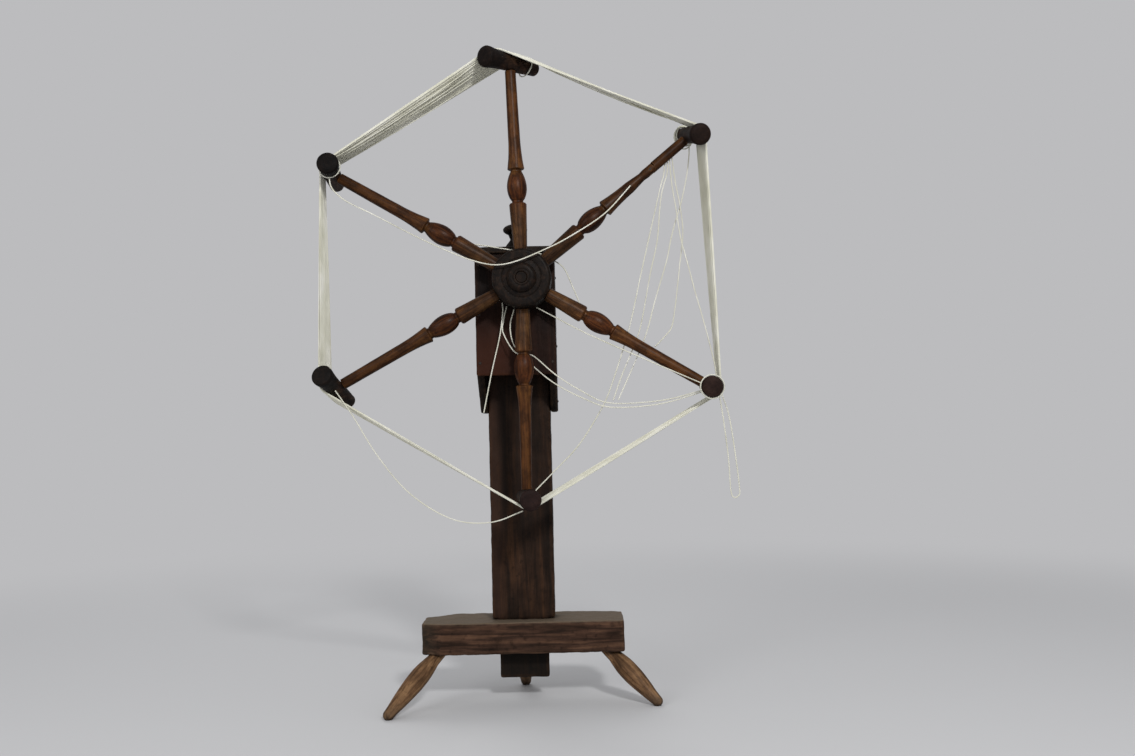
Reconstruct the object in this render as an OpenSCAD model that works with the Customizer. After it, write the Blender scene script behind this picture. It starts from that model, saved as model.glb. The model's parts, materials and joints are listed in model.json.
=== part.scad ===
// Clock reel: a six-armed skein winder on a post, with a folding arm and a turn counter.
// Millimetres. +Z is up, +X is to the right of a person facing the reel, and -Y is towards them.
// The origin is on the floor, under the middle of the reel's width, and half way between
// the crossbars' front ends and the rear foot.

/* [Reel] */
// Height of the axle's centre above the floor
axle_height = 605; // [580:1:640]
// Distance of the reel's middle plane in front of the origin
reel_forward = 81; // [75:1:90]
// Distance of the axle to the right of the origin
axle_x = 7; // [0:1:12]
// Axle centre to the centre of a crossbar
arm_reach = 305; // [295:1:315]
// Diameter of the hub
hub_d = 82; // [78:1:90]
// Width of the hub along the axle
hub_w = 56; // [50:1:60]
// Diameter of the raised boss on the hub's front
boss_d = 40; // [34:1:46]
// Height of that boss
boss_h = 6; // [3:0.5:10]

/* [Spokes] */
// Diameter of a spoke where it leaves the hub
spoke_root_d = 19; // [18:0.5:22]
// Diameter of the swelling collar, at its outer end
collar_d = 24.5; // [21:0.5:27]
// Distance from the axle to the collar's outer end, on an average arm
collar_reach = 102; // [97:1:106]
// Diameter of the necks before and after the baluster
neck_d = 16; // [14:0.5:18]
// Largest diameter of the baluster
baluster_d = 28; // [25:0.5:32]
// Length of the baluster
baluster_len = 41; // [34:1:46]
// Diameter of the flare after the baluster, at its inner end
flare_d = 24; // [20:0.5:26]
// Length of that flare
flare_len = 45; // [35:1:50]
// Diameter of the shank where the flare ends
shank_d = 17; // [15.5:0.5:18.5]
// Diameter of the shank at the crossbar
tip_d = 15.2; // [13:0.1:16]
// Diameter of the tenon in the hub
hub_tenon_d = 16; // [13:0.5:17]
// Diameter of the tenon in the crossbar
tip_tenon_d = 10; // [8:0.5:11]

/* [Crossbars] */
// Length of a crossbar
bar_len = 104; // [96:1:112]
// Diameter at the front end
bar_end_d = 30; // [27:0.5:33]
// Diameter over the spoke
bar_waist_d = 24; // [22:0.5:25.5]
// Diameter at the rear end
bar_tail_d = 21; // [19:0.5:26]

/* [Folding arm] */
// Distance from the axle to the knuckle's pin
knuckle_reach = 236; // [228:1:242]
// Diameter of the knuckle
knuckle_d = 13.8; // [12.5:0.1:14.5]
// Diameter of the narrow place before the knuckle
wrist_d = 12; // [11:0.1:13.5]
// Diameter of the outer half
outer_arm_d = 14.4; // [14:0.1:15.6]
// Thickness of the tongue
tongue_t = 4.2; // [3.6:0.1:5]
// Diameter of the pin
knuckle_pin_d = 4; // [3:0.1:4.5]

/* [Post and bench] */
// Width of the post
post_w = 92; // [84:1:100]
// Thickness of the post
post_t = 44; // [38:1:50]
// From the axle down to the post's top, inside the box
post_drop = 115; // [109:1:121]
// Distance of the axle to the right of the post's middle
axle_offset = 12; // [6:1:16]
// Length of the bench
bench_w = 294; // [280:1:320]
// Depth of the bench
bench_d = 95; // [90:1:104]
// Thickness of the bench
bench_t = 46; // [40:1:52]
// Height of the bench's top above the floor
bench_top = 118.5; // [112:0.5:130]
// From the bench's front edge to the post's front
bench_lip = 30.5; // [26:0.5:34]
// Width of the post's tenon
tenon_w = 72; // [60:1:80]
// Thickness of the post's tenon
tenon_t = 20; // [16:0.5:20.5]
// How far the tenon shows below the bench
tenon_drop = 40; // [20:1:48]

/* [Legs] */
// Diameter of a leg in its socket
leg_top_d = 20; // [17:0.5:21]
// Largest diameter of a leg
leg_swell_d = 28; // [25:0.5:31]
// Diameter of a leg at its round foot
leg_foot_d = 16; // [13:0.5:17]
// How far the left foot stands outside its socket
left_leg_out = 61; // [50:1:70]
// How far the left foot stands in front of its socket
left_leg_forward = 88; // [70:1:92]
// How far the right foot stands outside its socket
right_leg_out = 66; // [50:1:70]
// How far the right foot stands in front of its socket
right_leg_forward = 42; // [36:1:70]
// How far the rear foot stands behind its socket
rear_leg_back = 60; // [50:1:68]

/* [Counter box] */
// From the post's front to the front of the box
box_depth = 68; // [62:1:76]
// Thickness of the front panel, the back board and the top board
board_t = 10; // [8:0.5:12]
// Thickness of each cheek
cheek_t = 11; // [9:0.5:13]
// From the axle up to the underside of the top board
box_head = 42.5; // [35:0.5:51]
// From the axle down to the front panel's lower edge
panel_drop = 131.5; // [125:0.5:139]
// From the axle down to the cheeks' lower edge
cheek_drop = 184.5; // [165:0.5:195]
// Diameter of the knob on top
knob_d = 36; // [30:1:42]

/* [Axle and counter] */
// Diameter of the front journal
front_journal_d = 28; // [27.5:0.5:32]
// Diameter of the axle in the hub, the worm and the back board
axle_d = 16; // [14:0.5:16.5]
// Number of teeth on the counting wheel, one for each turn of the reel
wheel_teeth = 40; // [36:1:40]
// Axial pitch of the worm
worm_pitch = 6.28; // [6:0.01:6.4]
// Outer diameter of the worm
worm_d = 27; // [26.6:0.1:27.4]
// Height of the worm's thread
thread_h = 4; // [3.6:0.1:4.2]
// Thickness of the counting wheel
wheel_t = 8; // [6:0.5:8.5]
// Distance of the counting wheel's centre in front of the post's front
wheel_forward = 12; // [11:0.5:13]
// Distance from the counting wheel's centre to the trip peg
trip_reach = 27; // [25:0.5:29]
// Diameter of the trip peg
trip_d = 6; // [5:0.5:7]
// Thickness of the click strip
strip_t = 2; // [1.5:0.1:2.5]

/* [Yarn] */
// Diameter of the yarn
yarn_d = 1.6; // [1.4:0.1:1.6]
// Turns of yarn in the skein
skein_turns = 18; // [6:1:18]
// Spacing of the turns along the crossbars
skein_pitch = 2.1; // [2.1:0.05:2.2]

/* [Clearances] */
// Room round a fixed tenon or peg
fit = 0.1; // [0.05:0.01:0.2]
// Room round a turning shaft
run = 0.08; // [0.04:0.01:0.1]

/* [Hidden] */
$fn = 48;
BIG = 400;

// Arms anticlockwise from the lower right, as the maker's eye set them.
LOWER_RIGHT = 0;
UPPER_RIGHT = 1;
TOP = 2;
UPPER_LEFT = 3;
LOWER_LEFT = 4;
BOTTOM = 5;
ARM_ANGLE = [-31, 39.5, 92, 149.5, 209, 270];
ARM_EXTRA = [-5, 7, 2, 0, -4, -1];
COLLAR_EXTRA = [-3.5, 3, 5.5, 5, 0.5, -1.5];
BAR_TWIST = [3, 16, -42, 7, 23.5, -8];

// Planes along Y.
reel_y = -reel_forward;
hub_front = reel_y - hub_w / 2;
hub_back = reel_y + hub_w / 2;
collar_gap = 4;
collar_play = 0.5;
panel_front = hub_back + collar_gap;
panel_back = panel_front + board_t;
post_front = panel_front + box_depth;
post_back = post_front + post_t;
bench_front = post_front - bench_lip;
bench_back = bench_front + bench_d;

// Planes along X.
post_x = axle_x - axle_offset;
cheek_in = post_w / 2;
cheek_out = cheek_in + cheek_t;
bench_left = post_x - 1 - bench_w / 2;
bench_right = bench_left + bench_w;
bench_under = bench_top - bench_t;

// Heights of the box, which hangs on the axle.
box_ceiling = axle_height + box_head;
panel_bottom = axle_height - panel_drop;
cheek_bottom = axle_height - cheek_drop;
post_top = axle_height - post_drop;

// Spoke stations.
hub_tenon_len = 20;
inner_neck_len = 3.5;
outer_neck_len = 3;
tip_tenon_len = 16;
knuckle_r = knuckle_d / 2;

// Axle stations.
axle_r = axle_d / 2;
journal_r = front_journal_d / 2;
thrust_collar_r = journal_r + 3;
axle_body_r = axle_r + 3;
peg_r = 2.5;
peg_play = 0.5;
peg_y = post_back + peg_play + peg_r;
axle_tail = 12;

// Counter.
worm_r = worm_d / 2;
core_r = worm_r - thread_h;
mean_r = worm_r - thread_h / 2;
pitch_r = wheel_teeth * worm_pitch / (2 * PI);
mesh_gap = 0.9;
centre_distance = pitch_r + mean_r;
tooth_tip_r = centre_distance - core_r - mesh_gap;
tooth_root_r = centre_distance - worm_r - mesh_gap;
tooth_tip_w = 1.0;
tooth_root_w = 4.3;
wheel_y = post_front - wheel_forward;
wheel_z = axle_height - centre_distance;
worm_len = 26;
worm_start = wheel_y - worm_len / 2;
arbor_r = 8;
arbor_journal_r = 5.5;
arbor_play = 0.5;
trip_angle = 320;
trip_out = 10;
strip_w = 12;
strip_gap = 1.5;
strip_x = axle_x - wheel_t / 2 - strip_gap - strip_w;
strip_foot = panel_bottom + 7;
strip_catch = 1.5;
strip_tip = wheel_z - trip_reach - trip_d / 2 + strip_catch;
strip_seat_gap = 0.3;
tack_r = 0.7;
tack_head_r = 1.9;
tack_head_t = 0.6;
tack_hole_r = 1.3;
tack_rise = 2.5;
tack_slack = 0.9;
tack_bite = 8;

// Nails.
nail_r = 1.2;
nail_head_r = 2.6;
nail_head_t = 0.9;
nail_len = 24;

// Wood colours.
DARK = "#2b1c15";
PANEL = "#33201a";
HUB = "#261a16";
SPOKE = "#5e3a22";
BAR = "#251a14";
BENCH = "#46301f";
LEG = "#6a4526";
PALE = "#7a5c3c";
IRON = "#2c2a29";
YARN = "#c9c8b6";

function unit(v) = v / norm(v);
function reach(i) = arm_reach + ARM_EXTRA[i];
function radial(i) = [cos(ARM_ANGLE[i]), sin(ARM_ANGLE[i])];
function tangent(i) = [-sin(ARM_ANGLE[i]), cos(ARM_ANGLE[i])];
function bar_centre(i) = reach(i) * radial(i);

// Puts a shape that runs along +Z on the axle's line, starting at y.
module along_axle(y) {
    translate([axle_x, y, axle_height]) rotate([-90, 0, 0]) children();
}

// Puts a shape that runs out along +Z on arm i.
module on_arm(i) {
    translate([axle_x, reel_y, axle_height]) rotate([0, 90 - ARM_ANGLE[i], 0]) children();
}

// A flat shape drawn in Y and Z, extruded along +X from x.
module side_plate(x, t) {
    translate([x, 0, 0]) rotate([90, 0, 90]) linear_extrude(t) children();
}

// Bars to cut a chamfer c along the edge from a to b at height z.
module edge_cutter(a, b, z, c) {
    d = b - a;
    s = c * sqrt(2);
    translate([a.x, a.y, z]) rotate([0, 0, atan2(d.y, d.x)]) rotate([45, 0, 0])
        translate([-2, -s / 2, -s / 2]) cube([norm(d) + 4, s, s]);
}

// Bench: a thick plank with clipped corners, mortised for the post, with three leg sockets.
BENCH_OUTLINE = [[bench_left, bench_front + 10], [bench_left + 30, bench_front],
                 [bench_right - 5, bench_front], [bench_right, bench_front + 3],
                 [bench_right, bench_back - 15], [bench_right - 38, bench_back],
                 [bench_left + 46, bench_back], [bench_left, bench_back - 28]];
bench_ease = 2.5;

module bench() {
    color(BENCH) difference() {
        translate([0, 0, bench_under]) linear_extrude(bench_t) polygon(BENCH_OUTLINE);
        for (i = [0 : len(BENCH_OUTLINE) - 1])
            edge_cutter(BENCH_OUTLINE[i], BENCH_OUTLINE[(i + 1) % len(BENCH_OUTLINE)],
                        bench_top, bench_ease);
        translate([post_x - tenon_w / 2 - fit, tenon_front - fit, bench_under - 1])
            cube([tenon_w + 2 * fit, tenon_t + 2 * fit, bench_t + 2]);
        for (leg = LEGS) leg_socket(leg);
    }
}

// Post: a wide board that ends inside the box, with a tenon through the bench.
tenon_front = post_front + 2;
post_ease = 1.5;

module post() {
    x0 = post_x - post_w / 2;
    x1 = post_x + post_w / 2;
    e = post_ease;
    color(DARK) union() {
        translate([0, 0, bench_top]) linear_extrude(post_top - bench_top)
            polygon([[x0, post_front + e], [x0 + e, post_front], [x1 - e, post_front],
                     [x1, post_front + e], [x1, post_back - e], [x1 - e, post_back],
                     [x0 + e, post_back], [x0, post_back - e]]);
        translate([post_x - tenon_w / 2, tenon_front, bench_under - tenon_drop])
            cube([tenon_w, tenon_t, bench_t + tenon_drop + 1]);
    }
}

// Legs: [socket x, socket y, foot x, foot y, length of the tenon in the bench]. The foot is
// a round end that the floor cuts flat, so its centre is a little above the floor.
foot_r = leg_foot_d / 2;
foot_height = 0.8 * foot_r;
leg_inset_x = 23;
leg_inset_front = 23;
leg_inset_rear = 19;
front_tenon_len = 36;
rear_tenon_len = 20;
LEFT_LEG = [bench_left + leg_inset_x, bench_front + leg_inset_front,
            bench_left + leg_inset_x - left_leg_out,
            bench_front + leg_inset_front - left_leg_forward, front_tenon_len];
RIGHT_LEG = [bench_right - leg_inset_x, bench_front + leg_inset_front,
             bench_right - leg_inset_x + right_leg_out,
             bench_front + leg_inset_front - right_leg_forward, front_tenon_len];
REAR_LEG = [post_x - 3, bench_back - leg_inset_rear,
            post_x - 3, bench_back - leg_inset_rear + rear_leg_back, rear_tenon_len];
LEGS = [LEFT_LEG, RIGHT_LEG, REAR_LEG];

function leg_run(leg) = norm([leg[2] - leg[0], leg[3] - leg[1]]);
function leg_len(leg) = norm([leg_run(leg), bench_under - foot_height]);

// Puts a shape that runs along +Z on a leg's axis, with its start at the socket's mouth.
module on_leg(leg) {
    translate([leg[0], leg[1], bench_under])
        rotate([0, 0, atan2(leg[3] - leg[1], leg[2] - leg[0])])
            rotate([0, 180 - atan2(leg_run(leg), bench_under - foot_height), 0]) children();
}

module leg_socket(leg) {
    on_leg(leg) translate([0, 0, -leg[4] - fit])
        cylinder(r = leg_top_d / 2 + fit, h = leg[4] + BIG / 4);
}

// The exposed part swells over two fifths of its length, then tapers to the foot.
module turned_leg(leg) {
    exposed = leg_len(leg);
    top_r = leg_top_d / 2;
    bare = leg_run(leg) / bench_under * top_r + 1;
    swell = leg_swell_d / 2 - top_r;
    swell_end = exposed * 0.42;
    steps = 8;
    color(LEG) difference() {
        on_leg(leg) rotate_extrude() polygon(concat(
            [[0, -leg[4]], [top_r - 1, -leg[4]], [top_r, 1 - leg[4]], [top_r, bare]],
            [for (k = [1 : steps]) [top_r + swell * sin(90 * k / steps),
                                    bare + (swell_end - bare) * k / steps]],
            [for (k = [1 : steps]) [foot_r + (leg_swell_d / 2 - foot_r) * pow(cos(90 * k / steps), 1.3),
                                    swell_end + (exposed - swell_end) * k / steps]],
            [for (k = [1 : steps]) foot_r * [cos(90 * k / steps), sin(90 * k / steps)] + [0, exposed]]));
        translate([-BIG, -BIG, -BIG]) cube([2 * BIG, 2 * BIG, BIG]);
    }
}

module left_leg() { turned_leg(LEFT_LEG); }
module right_leg() { turned_leg(RIGHT_LEG); }
module rear_leg() { turned_leg(REAR_LEG); }

// Box: two cheeks beside the post, a front panel, a back board and a top board.
module cheek(x) {
    color(DARK) difference() {
        side_plate(x, cheek_t) polygon([[panel_back, box_ceiling], [panel_back, panel_bottom],
                                        [post_front + 1, cheek_bottom], [post_back, cheek_bottom],
                                        [post_back, box_ceiling]]);
        translate([x - 1, wheel_y, wheel_z]) rotate([0, 90, 0])
            cylinder(r = arbor_journal_r + run, h = cheek_t + 2);
    }
}

module left_cheek() { cheek(post_x - cheek_out); }
module right_cheek() { cheek(post_x + cheek_in); }

module front_panel() {
    color(PANEL) difference() {
        translate([post_x - cheek_out, panel_front, panel_bottom])
            cube([2 * cheek_out, board_t, box_ceiling - panel_bottom]);
        along_axle(panel_front - 1) cylinder(r = journal_r + run, h = board_t + 2);
    }
}

module back_board() {
    color(DARK) difference() {
        translate([post_x - cheek_in + fit, post_back - board_t, post_top])
            cube([2 * (cheek_in - fit), board_t, box_ceiling - post_top]);
        along_axle(post_back - board_t - 1) cylinder(r = axle_r + run, h = board_t + 2);
    }
}

top_overhang = 1;
knob_y = (panel_front + post_back) / 2;
knob_tenon_r = 6;

module top_board() {
    color(DARK) difference() {
        translate([post_x - cheek_out - top_overhang, panel_front - top_overhang, box_ceiling])
            cube([2 * (cheek_out + top_overhang), post_back - panel_front + 2 * top_overhang, board_t]);
        translate([post_x, knob_y, box_ceiling - 1])
            cylinder(r = knob_tenon_r + fit, h = board_t + 2);
    }
}

// Bun-shaped knob on a waisted neck, tenoned into the top board.
module finial() {
    r = knob_d / 2;
    neck_r = r * 0.42;
    foot_r = r * 0.85;
    bun_h = 8.5;
    bun_z = 32;
    neck_z = 18;
    steps = 10;
    color(DARK) translate([post_x, knob_y, box_ceiling + board_t]) rotate_extrude() polygon(concat(
        [[0, -board_t], [knob_tenon_r, -board_t], [knob_tenon_r, 0], [foot_r, 0], [foot_r, 4]],
        [for (k = [1 : 6]) [neck_r + (foot_r - neck_r) * pow(cos(90 * k / 6), 1.4),
                            4 + (neck_z - 4) * k / 6]],
        [for (k = [1 : steps]) let (a = -62 + 152 * k / steps)
            [max(r * cos(a), 0), bun_z + bun_h * sin(a)]]));
}

// Iron nails: [x, y, z, rotation that points the head outwards].
module nail(place, turn) {
    translate(place) rotate(turn) union() {
        cylinder(r = nail_r, h = nail_head_t + 0.1);
        translate([0, 0, -nail_len]) cylinder(r = nail_r, h = nail_len + 0.1);
        translate([0, 0, -0.3]) cylinder(r1 = nail_head_r, r2 = nail_head_r * 0.6, h = nail_head_t);
    }
}

module box_nails() {
    edge = cheek_t / 2;
    side_x = cheek_out - edge;
    color(IRON) {
        for (sx = [-1, 1], z = [panel_bottom + 18, (panel_bottom + box_ceiling) / 2, box_ceiling - 16])
            nail([post_x + sx * side_x, panel_front, z], [90, 0, 0]);
        for (sx = [-1, 1], y = [panel_front + 25, post_back - 25])
            nail([post_x + sx * side_x, y, box_ceiling + board_t], [0, 0, 0]);
        for (sx = [-1, 1], z = [cheek_bottom + 16, post_top - 16])
            nail([post_x + sx * cheek_out, (post_front + post_back) / 2, z], [0, sx * 90, 0]);
        for (sx = [-1, 1], z = [post_top + 30, box_ceiling - 24])
            nail([post_x + sx * cheek_out, post_back - board_t / 2, z], [0, sx * 90, 0]);
    }
}

// Puts a shape that runs back along +Y on each of the click strip's two tacks.
strip_y = wheel_y - strip_t / 2;

module at_tacks(y) {
    for (side = [0.3, 0.7])
        translate([strip_x + strip_w * side, y, strip_foot + tack_rise]) rotate([-90, 0, 0]) children();
}

// Block on the post's front that carries the click strip.
block_front = strip_y + strip_t + strip_seat_gap;
block_top = strip_tip - 14;

module strip_block() {
    color(PALE) difference() {
        translate([strip_x - 2, block_front, strip_foot])
            cube([strip_w + 4, post_front - block_front, block_top - strip_foot]);
        at_tacks(block_front - 1) cylinder(r = tack_r + fit, h = tack_bite + 1 + fit);
    }
}

// Axle: front end in the hub, thrust collar, front journal, worm seat and rear journal.
module axle() {
    z_hub = hub_back - hub_front + boss_h;
    z_collar = z_hub + collar_gap - collar_play;
    z_journal = z_collar + collar_play + board_t + 2;
    z_worm = worm_start - hub_front + boss_h;
    z_end = post_back + axle_tail - hub_front + boss_h;
    color(PALE) difference() {
        along_axle(hub_front - boss_h) rotate_extrude() polygon(
            [[0, 0], [axle_r - 1, 0], [axle_r, 1], [axle_r, z_hub], [thrust_collar_r, z_hub],
             [thrust_collar_r, z_collar], [journal_r, z_collar], [journal_r, z_journal],
             [axle_body_r, z_journal], [axle_body_r, z_worm], [axle_r, z_worm],
             [axle_r, z_end - 2], [axle_r - 2, z_end], [0, z_end]]);
        translate([axle_x, peg_y, axle_height - axle_d]) cylinder(r = peg_r + fit, h = 2 * axle_d);
    }
}

// Peg that stops the axle from drawing forward out of the back board.
module retaining_peg() {
    peg_len = 2 * axle_d;
    color(PALE) translate([axle_x, peg_y, axle_height - peg_len / 2]) cylinder(r = peg_r, h = peg_len);
}

// Hub: a turned drum with a ringed boss, bored for the axle and for six spokes.
module hub() {
    r = hub_d / 2;
    b = boss_d / 2;
    soft = 5;
    steps = 4;
    bore = axle_r + fit;
    color(HUB) difference() {
        along_axle(hub_front) rotate_extrude() polygon(concat(
            [[bore, -boss_h], [bore + 2.5, -boss_h], [bore + 3.2, 0.8 - boss_h], [bore + 4, -boss_h],
             [b - 5, -boss_h], [b - 3, 0.6 - boss_h], [b, 2.5 - boss_h], [b, -1], [b + 1, 0],
             [b + 6, 0], [b + 7, 1], [b + 8, 0]],
            [for (k = [0 : steps]) [r - soft + soft * sin(90 * k / steps),
                                    soft - soft * cos(90 * k / steps)]],
            [for (k = [0 : steps]) [r - soft + soft * cos(90 * k / steps),
                                    hub_w - soft + soft * sin(90 * k / steps)]],
            [[bore, hub_w]]));
        for (i = [0 : 5]) on_arm(i) translate([0, 0, r - hub_tenon_len - fit])
            cylinder(r = hub_tenon_d / 2 + fit, h = hub_tenon_len + 10);
    }
}

// Worm: a single left-hand thread on a sleeve, so that the trip peg moves forward under the
// wheel as the reel is wound clockwise. A valley faces down over the wheel's centre.
worm_slices = 16;

module worm() {
    turns = worm_len / worm_pitch;
    color(PALE) along_axle(worm_start) difference() {
        rotate([0, 0, 270 + 360 * (wheel_y - worm_start) / worm_pitch])
            linear_extrude(worm_len, twist = 360 * turns, slices = ceil(turns * worm_slices), $fn = 20)
                translate([thread_h / 2, 0]) circle(r = mean_r);
        translate([0, 0, -1]) cylinder(r = axle_r + fit, h = worm_len + 2);
    }
}

// Outline of a spoke from the hub to the end of the flare after its baluster.
baluster_steps = 10;
flare_steps = 6;

function collar_end(i) = collar_reach + COLLAR_EXTRA[i];
function flare_start(i) = collar_end(i) + inner_neck_len + baluster_len + outer_neck_len;

function spoke_start(i) =
    let (neck_r = neck_d / 2, fat = baluster_d / 2 - neck_r, c = collar_end(i), b = c + inner_neck_len)
    concat(
        [[0, hub_d / 2 - hub_tenon_len], [hub_tenon_d / 2, hub_d / 2 - hub_tenon_len],
         [hub_tenon_d / 2, hub_d / 2 + fit], [spoke_root_d / 2, hub_d / 2 + fit],
         [collar_d / 2, c - 2], [collar_d / 2 - 1.2, c], [neck_r, c + 1], [neck_r, b]],
        [for (k = [1 : baluster_steps]) let (t = k / baluster_steps)
            [neck_r + fat * pow(sin(180 * pow(t, 0.88)), 0.8), b + baluster_len * t]],
        [[neck_r, flare_start(i) - 1], [flare_d / 2 - 1, flare_start(i)]],
        [for (k = [0 : flare_steps]) let (t = k / flare_steps, swell = (flare_d - shank_d) / 2)
            [shank_d / 2 + swell * (1 - t) * (1 - t), flare_start(i) + 1 + flare_len * t]]);

function seat(i) = reach(i) - bar_r(-tip_d / 2) - fit;

module spoke(i) {
    color(SPOKE) on_arm(i) rotate_extrude() polygon(concat(spoke_start(i),
        [[tip_d / 2, seat(i)], [tip_tenon_d / 2, seat(i)],
         [tip_tenon_d / 2, seat(i) + tip_tenon_len], [0, seat(i) + tip_tenon_len]]));
}

module top_spoke() { spoke(TOP); }
module upper_left_spoke() { spoke(UPPER_LEFT); }
module lower_left_spoke() { spoke(LOWER_LEFT); }
module bottom_spoke() { spoke(BOTTOM); }
module lower_right_spoke() { spoke(LOWER_RIGHT); }

// Knuckle of the folding arm. In these flat shapes x runs out along the arm from the pin
// and y is the side that the arm folds towards.
knuckle_gap = 0.3;
tongue_r = knuckle_r - 0.4;
shoulder_reach = knuckle_r + 1;
slot_floor = tongue_r + 0.2;

// Extrudes a flat knuckle shape through the arm, w wide across it.
module through_arm(w) {
    translate([0, w / 2, knuckle_reach]) rotate([0, -90, 0]) rotate([90, 0, 0])
        linear_extrude(w) children();
}

// Inner half: a spoke that ends in two round ears.
module folding_arm_inner() {
    color(SPOKE) on_arm(UPPER_RIGHT) difference() {
        rotate_extrude() polygon(concat(spoke_start(UPPER_RIGHT),
            [[wrist_d / 2, knuckle_reach - 2.2 * knuckle_r], [knuckle_r, knuckle_reach - knuckle_r],
             [knuckle_r, knuckle_reach + knuckle_r], [0, knuckle_reach + knuckle_r]]));
        through_arm(BIG / 4) difference() {
            translate([0, -BIG / 8]) square([BIG / 4, BIG / 4]);
            circle(r = knuckle_r);
        }
        through_arm(tongue_t + 2 * knuckle_gap) translate([-slot_floor, -BIG / 8])
            square([BIG / 4, BIG / 4]);
        through_arm(BIG / 4) circle(r = knuckle_pin_d / 2 + fit);
    }
}

module knuckle_pin() {
    pin_len = knuckle_d - 0.4;
    color(IRON) on_arm(UPPER_RIGHT) translate([0, pin_len / 2, knuckle_reach]) rotate([90, 0, 0])
        cylinder(r = knuckle_pin_d / 2, h = pin_len);
}

// Outer half: a tongue with a square heel that stops the arm when it is straight.
module folding_arm_outer() {
    end = seat(UPPER_RIGHT);
    lip = 1.5;
    color(SPOKE) on_arm(UPPER_RIGHT) difference() {
        union() {
            difference() {
                rotate_extrude() polygon(
                    [[0, knuckle_reach], [outer_arm_d / 2, knuckle_reach], [outer_arm_d / 2, end],
                     [tip_tenon_d / 2, end], [tip_tenon_d / 2, end + tip_tenon_len],
                     [0, end + tip_tenon_len]]);
                through_arm(BIG / 4) union() {
                    circle(r = knuckle_r + knuckle_gap);
                    translate([-BIG / 8, -BIG / 8]) square([BIG / 8 + lip, BIG / 4]);
                    translate([-BIG / 8, 0]) square([BIG / 8 + shoulder_reach, BIG / 8]);
                }
            }
            through_arm(tongue_t) union() {
                circle(r = tongue_r);
                translate([-tongue_r, -tongue_r]) square([tongue_r + shoulder_reach + 1, tongue_r]);
                translate([0, -tongue_r]) square([shoulder_reach + 1, 2 * tongue_r]);
            }
        }
        through_arm(BIG / 4) circle(r = knuckle_pin_d / 2 + run);
    }
}

// Crossbar: swells to its front end, thins to its rear end, and is turned a little on the
// spoke's tenon. A place along it is s, less than 0 in front of the spoke.
bar_flare = 44;
bar_steps = 12;

function bar_r(s) =
    let (end_d = s < 0 ? bar_end_d : bar_tail_d)
    bar_waist_d / 2 + (end_d - bar_waist_d) / 2 * pow(min(abs(s) / bar_flare, 1), 2);

module crossbar(i) {
    half = bar_len / 2;
    r = bar_end_d / 2;
    tail_r = bar_tail_d / 2;
    color(BAR) on_arm(i) difference() {
        translate([0, 0, reach(i)]) rotate([0, 0, BAR_TWIST[i]]) rotate([-90, 0, 0])
            rotate_extrude() polygon(concat(
                [[0, -half], [r * 0.62, -half], [r * 0.9, 1.4 - half], [r, 4 - half]],
                [for (k = [0 : bar_steps]) let (s = bar_flare * (2 * k / bar_steps - 1)) [bar_r(s), s]],
                [[tail_r, half - 3], [tail_r * 0.85, half - 0.8], [tail_r * 0.6, half], [0, half]]));
        translate([0, 0, reach(i) - bar_end_d])
            cylinder(r = tip_tenon_d / 2 + fit, h = seat(i) + tip_tenon_len + fit - reach(i) + bar_end_d);
    }
}

module top_crossbar() { crossbar(TOP); }
module upper_left_crossbar() { crossbar(UPPER_LEFT); }
module lower_left_crossbar() { crossbar(LOWER_LEFT); }
module bottom_crossbar() { crossbar(BOTTOM); }
module lower_right_crossbar() { crossbar(LOWER_RIGHT); }
module upper_right_crossbar() { crossbar(UPPER_RIGHT); }

// A tube with n sides swept along points that never run along Y.
module tube(path, d, n) {
    last = len(path) - 1;
    rings = [for (k = [0 : last])
        let (t = unit(path[min(k + 1, last)] - path[max(k - 1, 0)]),
             a = unit(cross(t, [0, 1, 0])), b = cross(t, a))
        for (s = [0 : n - 1]) path[k] + d / 2 * (cos(360 * s / n) * a + sin(360 * s / n) * b)];
    caps = [for (s = [1 : n - 2]) each [[0, s, s + 1], [last * n, last * n + s + 1, last * n + s]]];
    sides = [for (k = [0 : last - 1], s = [0 : n - 1])
        let (p = k * n + s, q = k * n + (s + 1) % n)
        each [[p, p + n, q], [q, p + n, q + n]]];
    polyhedron(rings, concat(caps, sides));
}

// Skein: one yarn wound round the six crossbars. Each ring sits where a taut yarn would
// touch the round bar, with a small gap. The bar is thicker or thinner on the side to which
// its twist turns it, so its radius is read there.
skein_gap = 0.6;
rings_per_turn = 24;
rings_per_bar = rings_per_turn / 6;

function chord_angle(i) =
    let (d = bar_centre((i + 1) % 6) - bar_centre(i % 6)) atan2(d.y, d.x) - 90;
function turn_to(a, b) = (((b - a) % 360) + 360) % 360;

// Radius of the yarn's middle round a bar at s, and the place on the oval that a plane
// across the axle cuts from a twisted bar, where the oval faces an angle.
function skein_r(s) = bar_r(s) + yarn_d / 2 + skein_gap;
function on_oval(r, twist, facing) =
    let (b = r / cos(twist), size = norm([r * cos(facing), b * sin(facing)]))
    [r * r * cos(facing) / size, b * b * sin(facing) / size];

function skein_point(k) =
    let (i = floor((k % rings_per_turn) / rings_per_bar),
         f = (k % rings_per_bar) / (rings_per_bar - 1),
         y = skein_pitch * (k / rings_per_turn - skein_turns / 2),
         first = chord_angle((i + 5) % 6),
         facing = first + f * turn_to(first, chord_angle(i)) - ARM_ANGLE[i],
         s = y / cos(BAR_TWIST[i]),
         aside = on_oval(skein_r(s), BAR_TWIST[i], facing).y,
         from_bar = on_oval(skein_r(s + aside * sin(BAR_TWIST[i])), BAR_TWIST[i], facing),
         at = bar_centre(i) + y * tan(BAR_TWIST[i]) * tangent(i) + from_bar * [radial(i), tangent(i)])
    [axle_x + at.x, reel_y + y, axle_height + at.y];

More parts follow.
